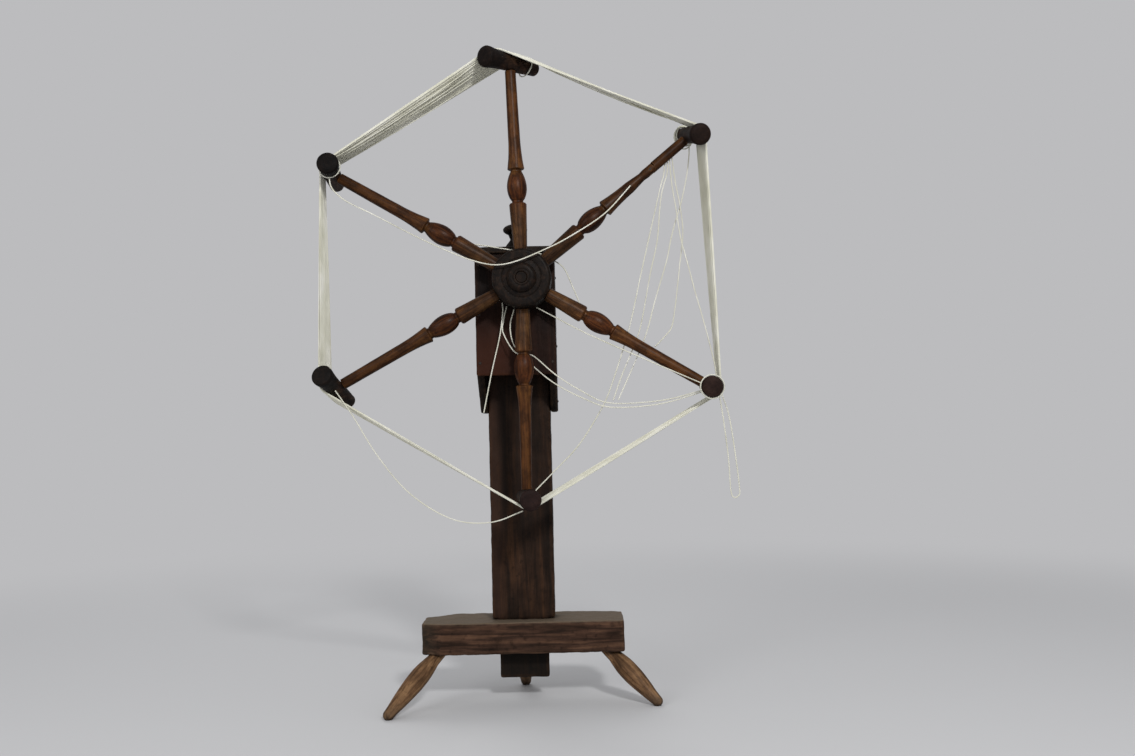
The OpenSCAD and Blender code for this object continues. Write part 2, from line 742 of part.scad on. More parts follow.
SKEIN_PATH = [for (k = [0 : rings_per_turn * skein_turns]) skein_point(k)];
SKEIN_GAPS = [for (k = [0 : len(SKEIN_PATH) - 1 - rings_per_turn])
    norm(SKEIN_PATH[k + rings_per_turn] - SKEIN_PATH[k]) - yarn_d];

module skein() {
    echo(least_gap_between_turns = min(SKEIN_GAPS));
    color(YARN) tube(SKEIN_PATH, yarn_d, 6);
}

// Loose yarn. Points are [x, y, z], x and z from the axle, in the reel's stored place.
function from_axle(points) = [for (p = points) [axle_x + p.x, p.y, axle_height + p.z]];

FRONT_STRAND = [[-261, -113, 144], [-257, -113.5, 128], [-238, -114, 110], [-200, -115, 90],
                [-130, -117, 52], [-64, -118, 23], [-20, -118, 18], [36, -117, 38],
                [76, -112, 59], [118, -101, 88], [154, -90.6, 127]];
BACK_STRAND = [[-73, -71.8, 53], [-58, -68, 52], [-21, -62, 46], [0, -61, 43], [22, -61, 40],
               [42, -62, 30], [58, -65, 18], [68, -69, -4], [80, -74, -35]];
HANGING_END = [[-29.5, -64, -29.8], [-29, -64, -44], [-34, -66, -78], [-46, -69, -128],
               [-58, -71, -184]];
SPOKE_STRAND = [[-23.5, -60, -34.5], [-28, -63, -54], [-29, -66, -72], [-14, -70, -99],
                [0, -69.5, -103.5], [14, -71, -107], [44, -86, -134], [80, -93, -158],
                [118, -96, -175], [190, -96, -173], [244.9, -96, -160.6]];
LOW_STRAND = [[-13.3, -60, -39.3], [-19, -63, -64], [-14, -65, -90], [2, -66, -108],
              [16, -68, -124], [44, -82, -147], [82, -94, -168], [120, -100, -181],
              [186, -104, -178], [245, -104, -162.6]];
HUB_STRAND = [[18.8, -62, -37.2], [46, -68, -53], [90, -80, -78], [160, -94, -112],
              [244.4, -99, -150.7]];
LONG_STRAND = [[204.5, -74.5, 162], [202, -74, 145], [196, -72.5, 123], [187, -71, 87],
               [178, -70, 51], [165, -68, -2], [151, -66.5, -61], [139, -66.5, -100],
               [125, -71, -140], [113, -78, -170], [95, -86, -201], [71, -93, -235],
               [41, -98, -265], [11.5, -100, -294]];
DROP_STRAND = [[207.5, -74.5, 164.5], [207, -73.5, 147], [201, -72, 128], [196, -71, 102],
               [191, -69.5, 53], [180, -68, 6], [165, -66.5, -66], [152, -67, -101],
               [136, -72, -137], [123, -84, -171]];
FAN_STRAND = [[210.5, -74.5, 167], [212, -75.5, 142], [214, -76, 122], [218, -77.5, 94],
              [223, -79, 54], [231, -81, 20], [240, -84, -20], [249, -87, -56],
              [257, -90, -91], [263.5, -92, -122], [266.6, -93, -146.3]];
SHORT_STRAND = [[214, -74.5, 170], [217, -73.5, 143], [220, -73, 123], [224, -72.5, 100],
                [227, -72, 63], [222, -71, 21], [217, -70, -18], [213, -69, -46],
                [208, -68, -70], [197, -67.5, -84], [184, -67.5, -97]];
CORNER_STRAND = [[238.6, -76, 187], [238, -75, 169], [234, -71.5, 140], [225, -69, 102],
                 [217, -68.5, 78], [210, -68.5, 53], [203, -68.5, 22], [187, -68, -28],
                 [173, -67, -76], [158, -67.5, -112], [143, -72, -144], [130, -84, -171]];
LOOP_STRAND = [[267.5, -103, -163.8], [273, -103, -205], [278, -103, -255], [280, -103, -298],
               [284, -103, -308], [290, -103, -306], [292, -103, -296], [287, -103, -245],
               [280, -103, -195], [269.4, -103, -161]];
SWAG_STRAND = [[-259.2, -103, -149.5], [-236, -103, -184], [-208, -103, -232],
               [-172, -103, -280], [-134, -103, -312], [-92, -103, -332],
               [-46, -103, -334], [-5, -103, -320]];

module loose(points) { color(YARN) tube(from_axle(points), yarn_d, 8); }
module front_strand() { loose(FRONT_STRAND); }
module back_strand() { loose(BACK_STRAND); }
module spoke_strand() { loose(SPOKE_STRAND); }
module low_strand() { loose(LOW_STRAND); }
module hub_strand() { loose(HUB_STRAND); }
module long_strand() { loose(LONG_STRAND); }
module drop_strand() { loose(DROP_STRAND); }
module fan_strand() { loose(FAN_STRAND); }
module short_strand() { loose(SHORT_STRAND); }
module corner_strand() { loose(CORNER_STRAND); }
module loop_strand() { loose(LOOP_STRAND); }
module swag_strand() { loose(SWAG_STRAND); }
module hanging_end() { loose(HANGING_END); }

// Counting wheel: a tooth stands straight up in the worm's valley when the reel is at rest.
module counting_wheel() {
    step = 360 / wheel_teeth;
    teeth = [for (k = [0 : wheel_teeth - 1]) let (a = 90 + k * step)
        each [for (p = [[tooth_root_r, -tooth_root_w], [tooth_tip_r, -tooth_tip_w],
                        [tooth_tip_r, tooth_tip_w], [tooth_root_r, tooth_root_w]])
            let (turn = a + p[1] / 2 / p[0] * 180 / PI) p[0] * [cos(turn), sin(turn)]]];
    color(PALE) translate([axle_x, wheel_y, wheel_z]) side_plate(-wheel_t / 2, wheel_t) difference() {
        polygon(teeth);
        circle(r = arbor_r + fit);
        rotate([0, 0, trip_angle]) translate([trip_reach, 0]) circle(r = trip_d / 2 + fit);
    }
}

// Arbor: runs in the two cheeks.
module wheel_arbor() {
    x0 = post_x - cheek_in + arbor_play;
    body = 2 * (cheek_in - arbor_play);
    stub = cheek_t + arbor_play - 0.5;
    color(PALE) translate([x0, wheel_y, wheel_z]) rotate([0, 90, 0]) rotate_extrude() polygon(
        [[0, -stub], [arbor_journal_r, -stub], [arbor_journal_r, 0], [arbor_r, 0],
         [arbor_r, body], [arbor_journal_r, body], [arbor_journal_r, body + stub], [0, body + stub]]);
}

// Trip peg: bends the click strip once in each turn of the wheel.
module trip_peg() {
    color(PALE) translate([axle_x, wheel_y, wheel_z]) rotate([trip_angle, 0, 0])
        translate([-wheel_t / 2 - trip_out, trip_reach, 0]) rotate([0, 90, 0])
            cylinder(r = trip_d / 2, h = wheel_t + trip_out);
}

// Click strip: a springy slat that the trip peg bends forward and lets slap on its block.
// Its tack holes are wide, so that it can rock on its foot.
module click_strip() {
    color(PALE) difference() {
        translate([strip_x, strip_y, strip_foot]) cube([strip_w, strip_t, strip_tip - strip_foot]);
        at_tacks(strip_y - 1) cylinder(r = tack_hole_r, h = strip_t + 2);
    }
}

module strip_tacks() {
    head_back = strip_y - tack_slack;
    color(IRON) at_tacks(head_back - tack_head_t) union() {
        cylinder(r = tack_head_r, h = tack_head_t);
        cylinder(r = tack_r, h = block_front + tack_bite - head_back + tack_head_t);
    }
}

bench();
post();
left_leg();
right_leg();
rear_leg();
left_cheek();
right_cheek();
front_panel();
back_board();
top_board();
finial();
box_nails();
strip_block();
axle();
retaining_peg();
hub();
worm();
top_spoke();
upper_left_spoke();
lower_left_spoke();
bottom_spoke();
lower_right_spoke();
folding_arm_inner();
knuckle_pin();
top_crossbar();
upper_left_crossbar();
lower_left_crossbar();
bottom_crossbar();
lower_right_crossbar();
skein();
front_strand();
back_strand();
hanging_end();
spoke_strand();
low_strand();
hub_strand();
long_strand();
drop_strand();
fan_strand();
short_strand();
corner_strand();
loop_strand();
swag_strand();
folding_arm_outer();
upper_right_crossbar();
counting_wheel();
wheel_arbor();
trip_peg();
click_strip();
strip_tacks();
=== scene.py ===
"""A clock reel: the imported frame, dressed as old turned wood, wrought iron and two-ply linen yarn."""

import json
import math
import random

import bmesh
import bpy
from mathutils import Matrix, Vector, noise


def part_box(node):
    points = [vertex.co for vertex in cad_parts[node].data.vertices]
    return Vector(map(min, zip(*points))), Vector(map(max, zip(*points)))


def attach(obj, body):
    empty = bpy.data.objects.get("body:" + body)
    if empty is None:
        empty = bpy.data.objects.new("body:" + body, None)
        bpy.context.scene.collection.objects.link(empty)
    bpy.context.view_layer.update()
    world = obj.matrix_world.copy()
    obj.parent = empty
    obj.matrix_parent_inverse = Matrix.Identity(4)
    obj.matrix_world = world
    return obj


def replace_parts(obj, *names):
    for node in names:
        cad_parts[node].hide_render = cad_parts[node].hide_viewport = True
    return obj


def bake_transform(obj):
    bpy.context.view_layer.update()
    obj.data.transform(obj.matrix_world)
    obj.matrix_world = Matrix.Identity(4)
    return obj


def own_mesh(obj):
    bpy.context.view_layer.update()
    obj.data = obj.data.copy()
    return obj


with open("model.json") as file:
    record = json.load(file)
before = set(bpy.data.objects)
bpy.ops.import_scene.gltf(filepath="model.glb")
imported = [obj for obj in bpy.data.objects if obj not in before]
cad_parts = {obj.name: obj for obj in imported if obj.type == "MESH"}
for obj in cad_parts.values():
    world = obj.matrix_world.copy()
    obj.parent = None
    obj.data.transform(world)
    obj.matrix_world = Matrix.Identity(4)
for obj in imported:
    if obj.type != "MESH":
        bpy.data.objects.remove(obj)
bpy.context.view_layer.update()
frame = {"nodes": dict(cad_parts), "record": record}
nodes = frame["nodes"]
BODY_OF = {node: body for body, members in frame["record"]["behaviour"]["bodies"].items() for node in members}

MM = 0.001
AXLE = Vector((7, 0, 605)) * MM
REEL_Y = -81
REEL_CENTRE = AXLE + Vector((0, REEL_Y, 0)) * MM

# Arms anticlockwise from the lower right: angle in degrees, reach to the crossbar, twist of the crossbar,
# where the collar ends, and the tone of the arm's wood, partly painted shade: the arms at the left are darker
# in part for how the light falls on them.
ARMS = {
    "lower_right": (-31, 300, 3, 98.5, 1.15),
    "upper_right": (39.5, 312, 16, 105, 0.62),
    "top": (92, 307, -42, 107.5, 1.08),
    "upper_left": (149.5, 305, 7, 107, 0.8),
    "lower_left": (209, 301, 23.5, 102.5, 0.74),
    "bottom": (270, 304, -8, 100.5, 1.04),
}
ORDER = list(ARMS)
LOWER_RIGHT, UPPER_RIGHT, TOP = 0, 1, 2


def arm_direction(angle):
    return Vector((math.cos(math.radians(angle)), 0, math.sin(math.radians(angle))))


# Camera, fitted to the photograph's view.

CAMERA_PLACE = Vector((67.1, -1723.5, 404.7)) * MM
CAMERA_PITCH = math.radians(2.15)
CAMERA_ROLL = math.radians(-1.34)
CAMERA_LENS = 37.45


def make_camera():
    data = bpy.data.cameras.new("camera")
    data.lens = CAMERA_LENS
    data.sensor_width = 36
    camera = bpy.data.objects.new("camera", data)
    bpy.context.scene.collection.objects.link(camera)
    forward = Vector((0, math.cos(CAMERA_PITCH), math.sin(CAMERA_PITCH)))
    level = Vector((1, 0, 0))
    above = level.cross(forward)
    right = math.cos(CAMERA_ROLL) * level + math.sin(CAMERA_ROLL) * above
    up = math.cos(CAMERA_ROLL) * above - math.sin(CAMERA_ROLL) * level
    turn = Matrix((right, up, -forward)).transposed()
    camera.matrix_world = Matrix.Translation(CAMERA_PLACE) @ turn.to_4x4()
    bpy.context.scene.camera = camera


make_camera()


# Nodes, colours and pieces


def linear(hex_colour):
    """An sRGB hex colour as linear red, green, blue and alpha."""
    parts = [int(hex_colour[i : i + 2], 16) / 255 for i in (1, 3, 5)]
    return tuple(c / 12.92 if c <= 0.04045 else ((c + 0.055) / 1.055) ** 2.4 for c in parts) + (1.0,)


def add(tree, kind, links=None, stops=(), **settings):
    """Add a node with its settings. links gives inputs, by name or number, a value, an output or a node's
    first output. stops are a ramp's places with hex colours or grey levels."""
    node = tree.nodes.new(kind)
    for name, value in settings.items():
        setattr(node, name, value)
    for name, value in (links or {}).items():
        named = [s for s in node.inputs if s.enabled and s.name == name]
        feed(tree, named[0] if named else node.inputs[name], value)
    if stops:
        marks = node.color_ramp.elements
        while len(marks) < len(stops):
            marks.new(0.5)
        for mark, (place, colour) in zip(marks, stops):
            mark.position = place
            mark.color = linear(colour) if isinstance(colour, str) else (colour, colour, colour, 1)
    return node


def feed(tree, socket, value):
    """Set an input, or link it to an output or to a node's first output."""
    if isinstance(value, bpy.types.Node):
        value = next(s for s in value.outputs if s.enabled)
    if isinstance(value, bpy.types.NodeSocket):
        tree.links.new(value, socket)
    else:
        socket.default_value = value


def new_material(name):
    material = bpy.data.materials.new(name)
    material.use_nodes = True
    return material, material.node_tree, material.node_tree.nodes["Principled BSDF"]


def finish(tree, shader, **inputs):
    """Feed the shader. An input's name is written with underscores for spaces."""
    for name, value in inputs.items():
        feed(tree, shader.inputs[name.replace("_", " ")], value)


def new_tree(name, **inputs):
    """A geometry tree that takes a mesh and the named inputs, a letter's case and spaces as they show."""
    tree = bpy.data.node_groups.new(name, "GeometryNodeTree")
    tree.interface.new_socket("Geometry", in_out="INPUT", socket_type="NodeSocketGeometry")
    for label, kind in inputs.items():
        tree.interface.new_socket(label.replace("_", " "), in_out="INPUT", socket_type="NodeSocket" + kind)
    tree.interface.new_socket("Geometry", in_out="OUTPUT", socket_type="NodeSocketGeometry")
    return tree, add(tree, "NodeGroupInput").outputs


def new_piece(name, mesh):
    piece = bpy.data.objects.new(name, mesh)
    bpy.context.scene.collection.objects.link(piece)
    return piece


def make_plain(piece):
    """Turn what a piece's modifiers make into its own mesh."""
    view = bpy.context.evaluated_depsgraph_get()
    mesh = bpy.data.meshes.new_from_object(
        piece.evaluated_get(view), preserve_all_data_layers=True, depsgraph=view)
    piece.modifiers.clear()
    piece.data = mesh
    mesh.name = piece.name
    return piece


def make_along(name, paths, tree, inputs, closed=False):
    """A piece that a tree makes along lines of points, with the tree's inputs by name."""
    verts = [tuple(p) for path in paths for p in path]
    edges = []
    start = 0
    for path in paths:
        edges += [(start + k, start + k + 1) for k in range(len(path) - 1)]
        start += len(path)
    if closed:
        edges.append((start - 1, 0))
    lines = bpy.data.meshes.new(name)
    lines.from_pydata(verts, edges, [])
    piece = new_piece(name, lines)
    maker = piece.modifiers.new("maker", "NODES")
    maker.node_group = tree
    for socket in tree.interface.items_tree:
        if socket.name in inputs:
            maker[socket.identifier] = inputs[socket.name]
    return make_plain(piece)


# Yarn


def linen_yarn():
    """Undyed two-ply linen: matt, with a soft sheen, painted shade in the creases between its plies, and dusky in old
    smudges.
    """
    material, tree, shader = new_material("linen_yarn_two_ply")
    uv = add(tree, "ShaderNodeUVMap")
    across = add(tree, "ShaderNodeVectorMath", {0: uv, 1: (-4 * math.pi, 4 * math.pi, 0)}, operation="DOT_PRODUCT")
    ply = add(tree, "ShaderNodeMath", {0: across.outputs["Value"]}, operation="COSINE")
    raised = add(tree, "ShaderNodeMapRange", {"Value": ply, "From Min": -1})
    place = add(tree, "ShaderNodeTexCoord").outputs["Object"]
    smudge = add(tree, "ShaderNodeTexNoise", {"Vector": place, "Scale": 28, "Detail": 4})
    fibre = add(tree, "ShaderNodeTexNoise", {"Vector": place, "Scale": 1600, "Detail": 3})
    colour = add(tree, "ShaderNodeValToRGB", {"Fac": smudge},
                 [(0.3, "#cbc9b6"), (0.52, "#dcdaca"), (0.72, "#e9e7dc")])
    # Painted shade: the spiral crease between the two plies is darkened along the yarn's UV.
    ply_crease_shade = add(tree, "ShaderNodeValToRGB", {"Fac": raised}, [(0.0, 0.78), (0.5, 1.0)])
    colour = add(tree, "ShaderNodeMix", {"Factor": 0.7, "A": colour, "B": ply_crease_shade},
                 data_type="RGBA", blend_type="MULTIPLY")
    flecks = add(tree, "ShaderNodeValToRGB", {"Fac": fibre}, [(0.3, 0.84), (0.6, 1.0)])
    colour = add(tree, "ShaderNodeMix", {"Factor": 0.6, "A": colour, "B": flecks},
                 data_type="RGBA", blend_type="MULTIPLY")
    height = add(tree, "ShaderNodeMath", {0: raised, 1: fibre}, operation="ADD")
    bump = add(tree, "ShaderNodeBump", {"Strength": 0.4, "Distance": 0.0003, "Height": height})
    finish(tree, shader, Base_Color=colour, Roughness=0.85, Specular_IOR_Level=0.3, Sheen_Weight=0.3, Normal=bump)
    return material


YARN = linen_yarn()


def yarn_tree():
    """Sweeps a yarn along each line: two plies that turn as they go, thicker and thinner as handspun yarn is.
    Along the surface U counts twists and V counts turns round the yarn."""
    tree, given = new_tree("plied_yarn", Yarn_diameter="Float", Twist_length="Float", Ply_depth="Float",
                           Unevenness="Float", Rings_in_a_span="Int", Sides="Int", Seed="Int")
    line = add(tree, "GeometryNodeMeshToCurve", {"Mesh": given["Geometry"]})
    line = add(tree, "GeometryNodeCurveSplineType", {"Curve": line}, spline_type="CATMULL_ROM")
    line = add(tree, "GeometryNodeSetSplineResolution", {"Geometry": line, "Resolution": given["Rings in a span"]})
    length = add(tree, "GeometryNodeSplineParameter").outputs["Length"]
    twists = add(tree, "ShaderNodeMath", {0: length, 1: given["Twist length"]}, operation="DIVIDE")
    shaped = add(tree, "ShaderNodeMath", {0: given["Ply depth"]}, operation="SIGN")
    turning = add(tree, "ShaderNodeMath", {0: twists, 1: shaped}, operation="MULTIPLY")
    tilt = add(tree, "ShaderNodeMath", {0: turning, 1: 2 * math.pi}, operation="MULTIPLY")
    line = add(tree, "GeometryNodeSetCurveTilt", {"Curve": line, "Tilt": tilt})
    for name, value in (("along", twists), ("turned", turning)):
        line = add(tree, "GeometryNodeStoreNamedAttribute", {"Geometry": line, "Name": name, "Value": value})

    ring = add(tree, "GeometryNodeCurvePrimitiveCircle", {"Resolution": given["Sides"], "Radius": 1.0})
    factor = add(tree, "GeometryNodeSplineParameter").outputs["Factor"]
    ring = add(tree, "GeometryNodeStoreNamedAttribute", {"Geometry": ring, "Name": "round", "Value": factor})
    place = add(tree, "GeometryNodeInputPosition")
    y = add(tree, "ShaderNodeSeparateXYZ", {"Vector": place}).outputs["Y"]
    waist = add(tree, "ShaderNodeMath", {0: y, 1: y}, operation="MULTIPLY")
    waist = add(tree, "ShaderNodeMath", {0: waist, 1: given["Ply depth"]}, operation="MULTIPLY")
    radius = add(tree, "ShaderNodeMath", {0: 1.0, 1: waist}, operation="SUBTRACT")
    two_ply = add(tree, "ShaderNodeVectorMath", {0: place, "Scale": radius}, operation="SCALE")
    ring = add(tree, "GeometryNodeSetPosition", {"Geometry": ring, "Position": two_ply})

    here = add(tree, "GeometryNodeInputPosition")
    spun = add(tree, "ShaderNodeTexNoise", {"Vector": here, "W": given["Seed"], "Scale": 90, "Detail": 2},
               noise_dimensions="4D")
    swell = add(tree, "ShaderNodeMapRange",
                {"Value": spun, "From Min": 0.3, "From Max": 0.7, "To Min": -1, "To Max": 1})
    swell = add(tree, "ShaderNodeMath", {0: swell, 1: given["Unevenness"]}, operation="MULTIPLY")
    swell = add(tree, "ShaderNodeMath", {0: swell, 1: 1.0}, operation="ADD")
    half = add(tree, "ShaderNodeMath", {0: given["Yarn diameter"], 1: 0.5}, operation="MULTIPLY")
    size = add(tree, "ShaderNodeMath", {0: swell, 1: half}, operation="MULTIPLY")
    mesh = add(tree, "GeometryNodeCurveToMesh",
               {"Curve": line, "Profile Curve": ring, "Scale": size, "Fill Caps": True})

    v = add(tree, "GeometryNodeInputNamedAttribute", {"Name": "round"}).outputs["Attribute"]
    middle = add(tree, "GeometryNodeFieldOnDomain", {"Value": v}, domain="FACE")
    behind = add(tree, "ShaderNodeMath", {0: middle, 1: v}, operation="SUBTRACT")
    wraps = add(tree, "ShaderNodeMath", {0: behind, 1: 0.3}, operation="GREATER_THAN")
    v = add(tree, "ShaderNodeMath", {0: v, 1: wraps}, operation="ADD")
    turned = add(tree, "GeometryNodeInputNamedAttribute", {"Name": "turned"}).outputs["Attribute"]
    v = add(tree, "ShaderNodeMath", {0: v, 1: turned}, operation="ADD")
    u = add(tree, "GeometryNodeInputNamedAttribute", {"Name": "along"}).outputs["Attribute"]
    uv = add(tree, "ShaderNodeCombineXYZ", {"X": u, "Y": v})
    mesh = add(tree, "GeometryNodeStoreNamedAttribute", {"Geometry": mesh, "Name": "UVMap", "Value": uv},
               data_type="FLOAT2", domain="CORNER")
    for name in ("along", "turned", "round"):
        mesh = add(tree, "GeometryNodeRemoveAttribute", {"Geometry": mesh, "Name": name})
    mesh = add(tree, "GeometryNodeSetShadeSmooth", {"Geometry": mesh})
    mesh = add(tree, "GeometryNodeRealizeInstances", {"Geometry": mesh})
    mesh = add(tree, "GeometryNodeSetMaterial", {"Geometry": mesh, "Material": YARN})
    add(tree, "NodeGroupOutput", {"Geometry": mesh})
    return tree


YARN_TREE = yarn_tree()
YARN_D = 1.6 * MM
# The plies bulge a little past the yarn's own diameter.
LOOSE = {"Yarn diameter": 1.25 * YARN_D, "Twist length": 5 * MM, "Ply depth": 0.28, "Unevenness": 0.1,
         "Rings in a span": 18, "Sides": 10, "Seed": 3}
TIGHT = {**LOOSE, "Rings in a span": 8}


def make_yarn(name, paths, body, sizes):
    piece = make_along(name, paths, YARN_TREE, sizes)
    if body:
        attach(piece, body)
    return piece


def smooth_path(points, steps):
    """A smooth curve through the points, with steps segments between each two."""
    pts = [Vector(p) for p in points]
    padded = [2 * pts[0] - pts[1], *pts, 2 * pts[-1] - pts[-2]]
    out = []
    for a, b, c, d in zip(padded, padded[1:], padded[2:], padded[3:]):
        for k in range(steps):
            t = k / steps
            out.append(0.5 * (2 * b + (c - a) * t + (2 * a - 5 * b + 4 * c - d) * t * t
                              + (3 * b - a - 3 * c + d) * t ** 3))
    return [*out, pts[-1]]


# Loose strands: millimetres, x and z from the axle. They repeat the routes in the part's source.
STRANDS = {
    "front_strand": [(-261, -113, 144), (-257, -113.5, 128), (-238, -114, 110), (-200, -115, 90),
                     (-130, -117, 52), (-64, -118, 23), (-20, -118, 18), (36, -117, 38),
                     (76, -112, 59), (118, -101, 88), (154, -90.6, 127)],
    "back_strand": [(-73, -71.8, 53), (-58, -68, 52), (-21, -62, 46), (0, -61, 43), (22, -61, 40),
                    (42, -62, 30), (58, -65, 18), (68, -69, -4), (80, -74, -35)],
    "hanging_end": [(-29.5, -64, -29.8), (-29, -64, -44), (-34, -66, -78), (-46, -69, -128),
                    (-58, -71, -184)],
    "spoke_strand": [(-23.5, -60, -34.5), (-28, -63, -54), (-29, -66, -72), (-14, -70, -99),
                     (0, -69.5, -103.5), (14, -71, -107), (44, -86, -134), (80, -93, -158),
                     (118, -96, -175), (190, -96, -173), (244.9, -96, -160.6)],
    "low_strand": [(-13.3, -60, -39.3), (-19, -63, -64), (-14, -65, -90), (2, -66, -108),
                   (16, -68, -124), (44, -82, -147), (82, -94, -168), (120, -100, -181),
                   (186, -104, -178), (245, -104, -162.6)],
    "hub_strand": [(18.8, -62, -37.2), (46, -68, -53), (90, -80, -78), (160, -94, -112),
                   (244.4, -99, -150.7)],
    "long_strand": [(204.5, -74.5, 162), (202, -74, 145), (196, -72.5, 123), (187, -71, 87),
                    (178, -70, 51), (165, -68, -2), (151, -66.5, -61), (139, -66.5, -100),
                    (125, -71, -140), (113, -78, -170), (95, -86, -201), (71, -93, -235),
                    (41, -98, -265), (11.5, -100, -294)],
    "drop_strand": [(207.5, -74.5, 164.5), (207, -73.5, 147), (201, -72, 128), (196, -71, 102),
                    (191, -69.5, 53), (180, -68, 6), (165, -66.5, -66), (152, -67, -101),
                    (136, -72, -137), (123, -84, -171)],
    "fan_strand": [(210.5, -74.5, 167), (212, -75.5, 142), (214, -76, 122), (218, -77.5, 94),
                   (223, -79, 54), (231, -81, 20), (240, -84, -20), (249, -87, -56),
                   (257, -90, -91), (263.5, -92, -122), (266.6, -93, -146.3)],
    "short_strand": [(214, -74.5, 170), (217, -73.5, 143), (220, -73, 123), (224, -72.5, 100),
                     (227, -72, 63), (222, -71, 21), (217, -70, -18), (213, -69, -46),
                     (208, -68, -70), (197, -67.5, -84), (184, -67.5, -97)],
    "corner_strand": [(238.6, -76, 187), (238, -75, 169), (234, -71.5, 140), (225, -69, 102),
                      (217, -68.5, 78), (210, -68.5, 53), (203, -68.5, 22), (187, -68, -28),
                      (173, -67, -76), (158, -67.5, -112), (143, -72, -144), (130, -84, -171)],
    "loop_strand": [(267.5, -103, -163.8), (273, -103, -205), (278, -103, -255), (280, -103, -298),
                    (284, -103, -308), (290, -103, -306), (292, -103, -296), (287, -103, -245),
                    (280, -103, -195), (269.4, -103, -161)],
    "swag_strand": [(-259.2, -103, -149.5), (-236, -103, -184), (-208, -103, -232),
                    (-172, -103, -280), (-134, -103, -312), (-92, -103, -332),
                    (-46, -103, -334), (-5, -103, -320)],
}
FROM_FOLDING_ARM = ("long_strand", "drop_strand", "fan_strand", "short_strand", "corner_strand")


def make_strand(name):
    points = STRANDS[name]
    route = [AXLE + Vector(p) * MM for p in points]
    path = smooth_path(route, 5 if len(points) < 6 else 3)
    on_both = name in FROM_FOLDING_ARM
    piece = make_yarn("yarn_" + name, [path], None if on_both else "reel", LOOSE)
    if on_both:
        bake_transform(piece)
    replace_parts(piece, name)


for strand in STRANDS:
    make_strand(strand)


# Skein: one unbroken yarn, wound across the crossbars and back again, layer over layer.
SKEIN_TURNS = 72
SKEIN_LAYERS = 3
SKEIN_HALF_WIDTH = 20.5
THREAD_D = 1.4
LAYER_RISE = 0.7
WANDER = 0.8
BAR_HALF, BAR_WAIST_R, BAR_FRONT_R, BAR_TAIL_R, BAR_FLARE = 52, 12, 15, 10.5, 44


def bar_radius(s):
    """Radius of a crossbar at a place s along it, less than 0 in front of its spoke."""
    end = BAR_FRONT_R if s < 0 else BAR_TAIL_R
    return BAR_WAIST_R + (end - BAR_WAIST_R) * min(abs(s) / BAR_FLARE, 1) ** 2


def bar_centre(i):
    angle, reach = ARMS[ORDER[i % 6]][:2]
    d = arm_direction(angle) * reach
    return Vector((d.x, d.z))


def chord_facing(i):
    d = bar_centre(i + 1) - bar_centre(i)
    return math.atan2(d.y, d.x) - math.pi / 2


def oval(radius, twist, facing):
    """Where the oval that a plane across the axle cuts from a twisted bar faces an angle: outwards and sideways."""
    b = radius / math.cos(twist)
    size = math.hypot(radius * math.cos(facing), b * math.sin(facing))
    return Vector((radius * radius * math.cos(facing), b * b * math.sin(facing))) / size


def on_bar(i, share, y, lift):
    """A point of a taut thread on bar i: share runs from where it arrives to where it leaves."""
    angle = math.radians(ARMS[ORDER[i % 6]][0])
    twist = math.radians(ARMS[ORDER[i % 6]][2])
    first = chord_facing(i - 1)
    facing = first + share * ((chord_facing(i) - first) % (2 * math.pi)) - angle
    s = y / math.cos(twist)
    aside = oval(bar_radius(s) + lift, twist, facing).y
    off = oval(bar_radius(s + aside * math.sin(twist)) + lift, twist, facing)
    out = Vector((math.cos(angle), math.sin(angle)))
    side = Vector((-out.y, out.x))
    c = bar_centre(i) + side * (y * math.tan(twist)) + out * off.x + side * off.y
    return REEL_CENTRE + Vector((c.x, y, c.y)) * MM


def skein_place(step, wander):
    """Place along the bars and lift of the winding at a step, six steps to a turn."""
    passes = step / (6 * SKEIN_TURNS) * SKEIN_LAYERS
    layer = min(int(passes), SKEIN_LAYERS - 1)
    sweep = 2 * (passes - layer) - 1
    lift = THREAD_D / 2 + 0.15 + LAYER_RISE * layer
    return SKEIN_HALF_WIDTH * (sweep if layer % 2 == 0 else -sweep) + wander[step], lift


def skein_stretch(first, last, wander, sag):
    """Points of the winding from the middle of bar first to the middle of bar last."""
    path = []
    for step in range(first, last + 1):
        y, lift = skein_place(step, wander)
        shares = [0.5, 0.75, 1] if step == first else [0, 0.25, 0.5] if step == last else [0, 0.25, 0.5, 0.75, 1]
        path += [on_bar(step, share, y, lift) for share in shares]
        if step < last:
            there = on_bar(step + 1, 0, *skein_place(step + 1, wander))
            here = path[-1]
            for t in (0.2, 0.4, 0.6, 0.8):
                path.append(here.lerp(there, t) + sag[step] * (4 * t * (1 - t)))
    return path


def run_sag(step, rng):
    """How far a thread's run hangs or stands off: a few are slack and hang well below the rest."""
    loose = rng.random() < 0.05 and step % 6 in (UPPER_RIGHT, TOP)
    drop = rng.uniform(4, 9) if loose else rng.uniform(0, 1.2)
    return Vector((rng.uniform(-0.8, 0.8), rng.uniform(-0.6, 0.6), -drop)) * MM


def make_skein():
    rng = random.Random(11)
    steps = 6 * SKEIN_TURNS + 1
    wander = [rng.uniform(-WANDER, WANDER) for _ in range(steps)]
    sag = [run_sag(step, rng) for step in range(steps)]
    sizes = {**LOOSE, "Yarn diameter": THREAD_D * MM, "Ply depth": 0.0, "Rings in a span": 1, "Sides": 6}
    turns = [6 * k for k in range(SKEIN_TURNS)]
    firm = [skein_stretch(k + TOP, k + 6, wander, sag) for k in turns]
    slack = [skein_stretch(k, k + TOP, wander, sag) for k in turns]
    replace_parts(make_yarn("yarn_skein", firm, "reel", sizes), "skein")
    folding = make_yarn("yarn_skein_slack", slack, "reel", sizes)
    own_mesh(folding)


make_skein()


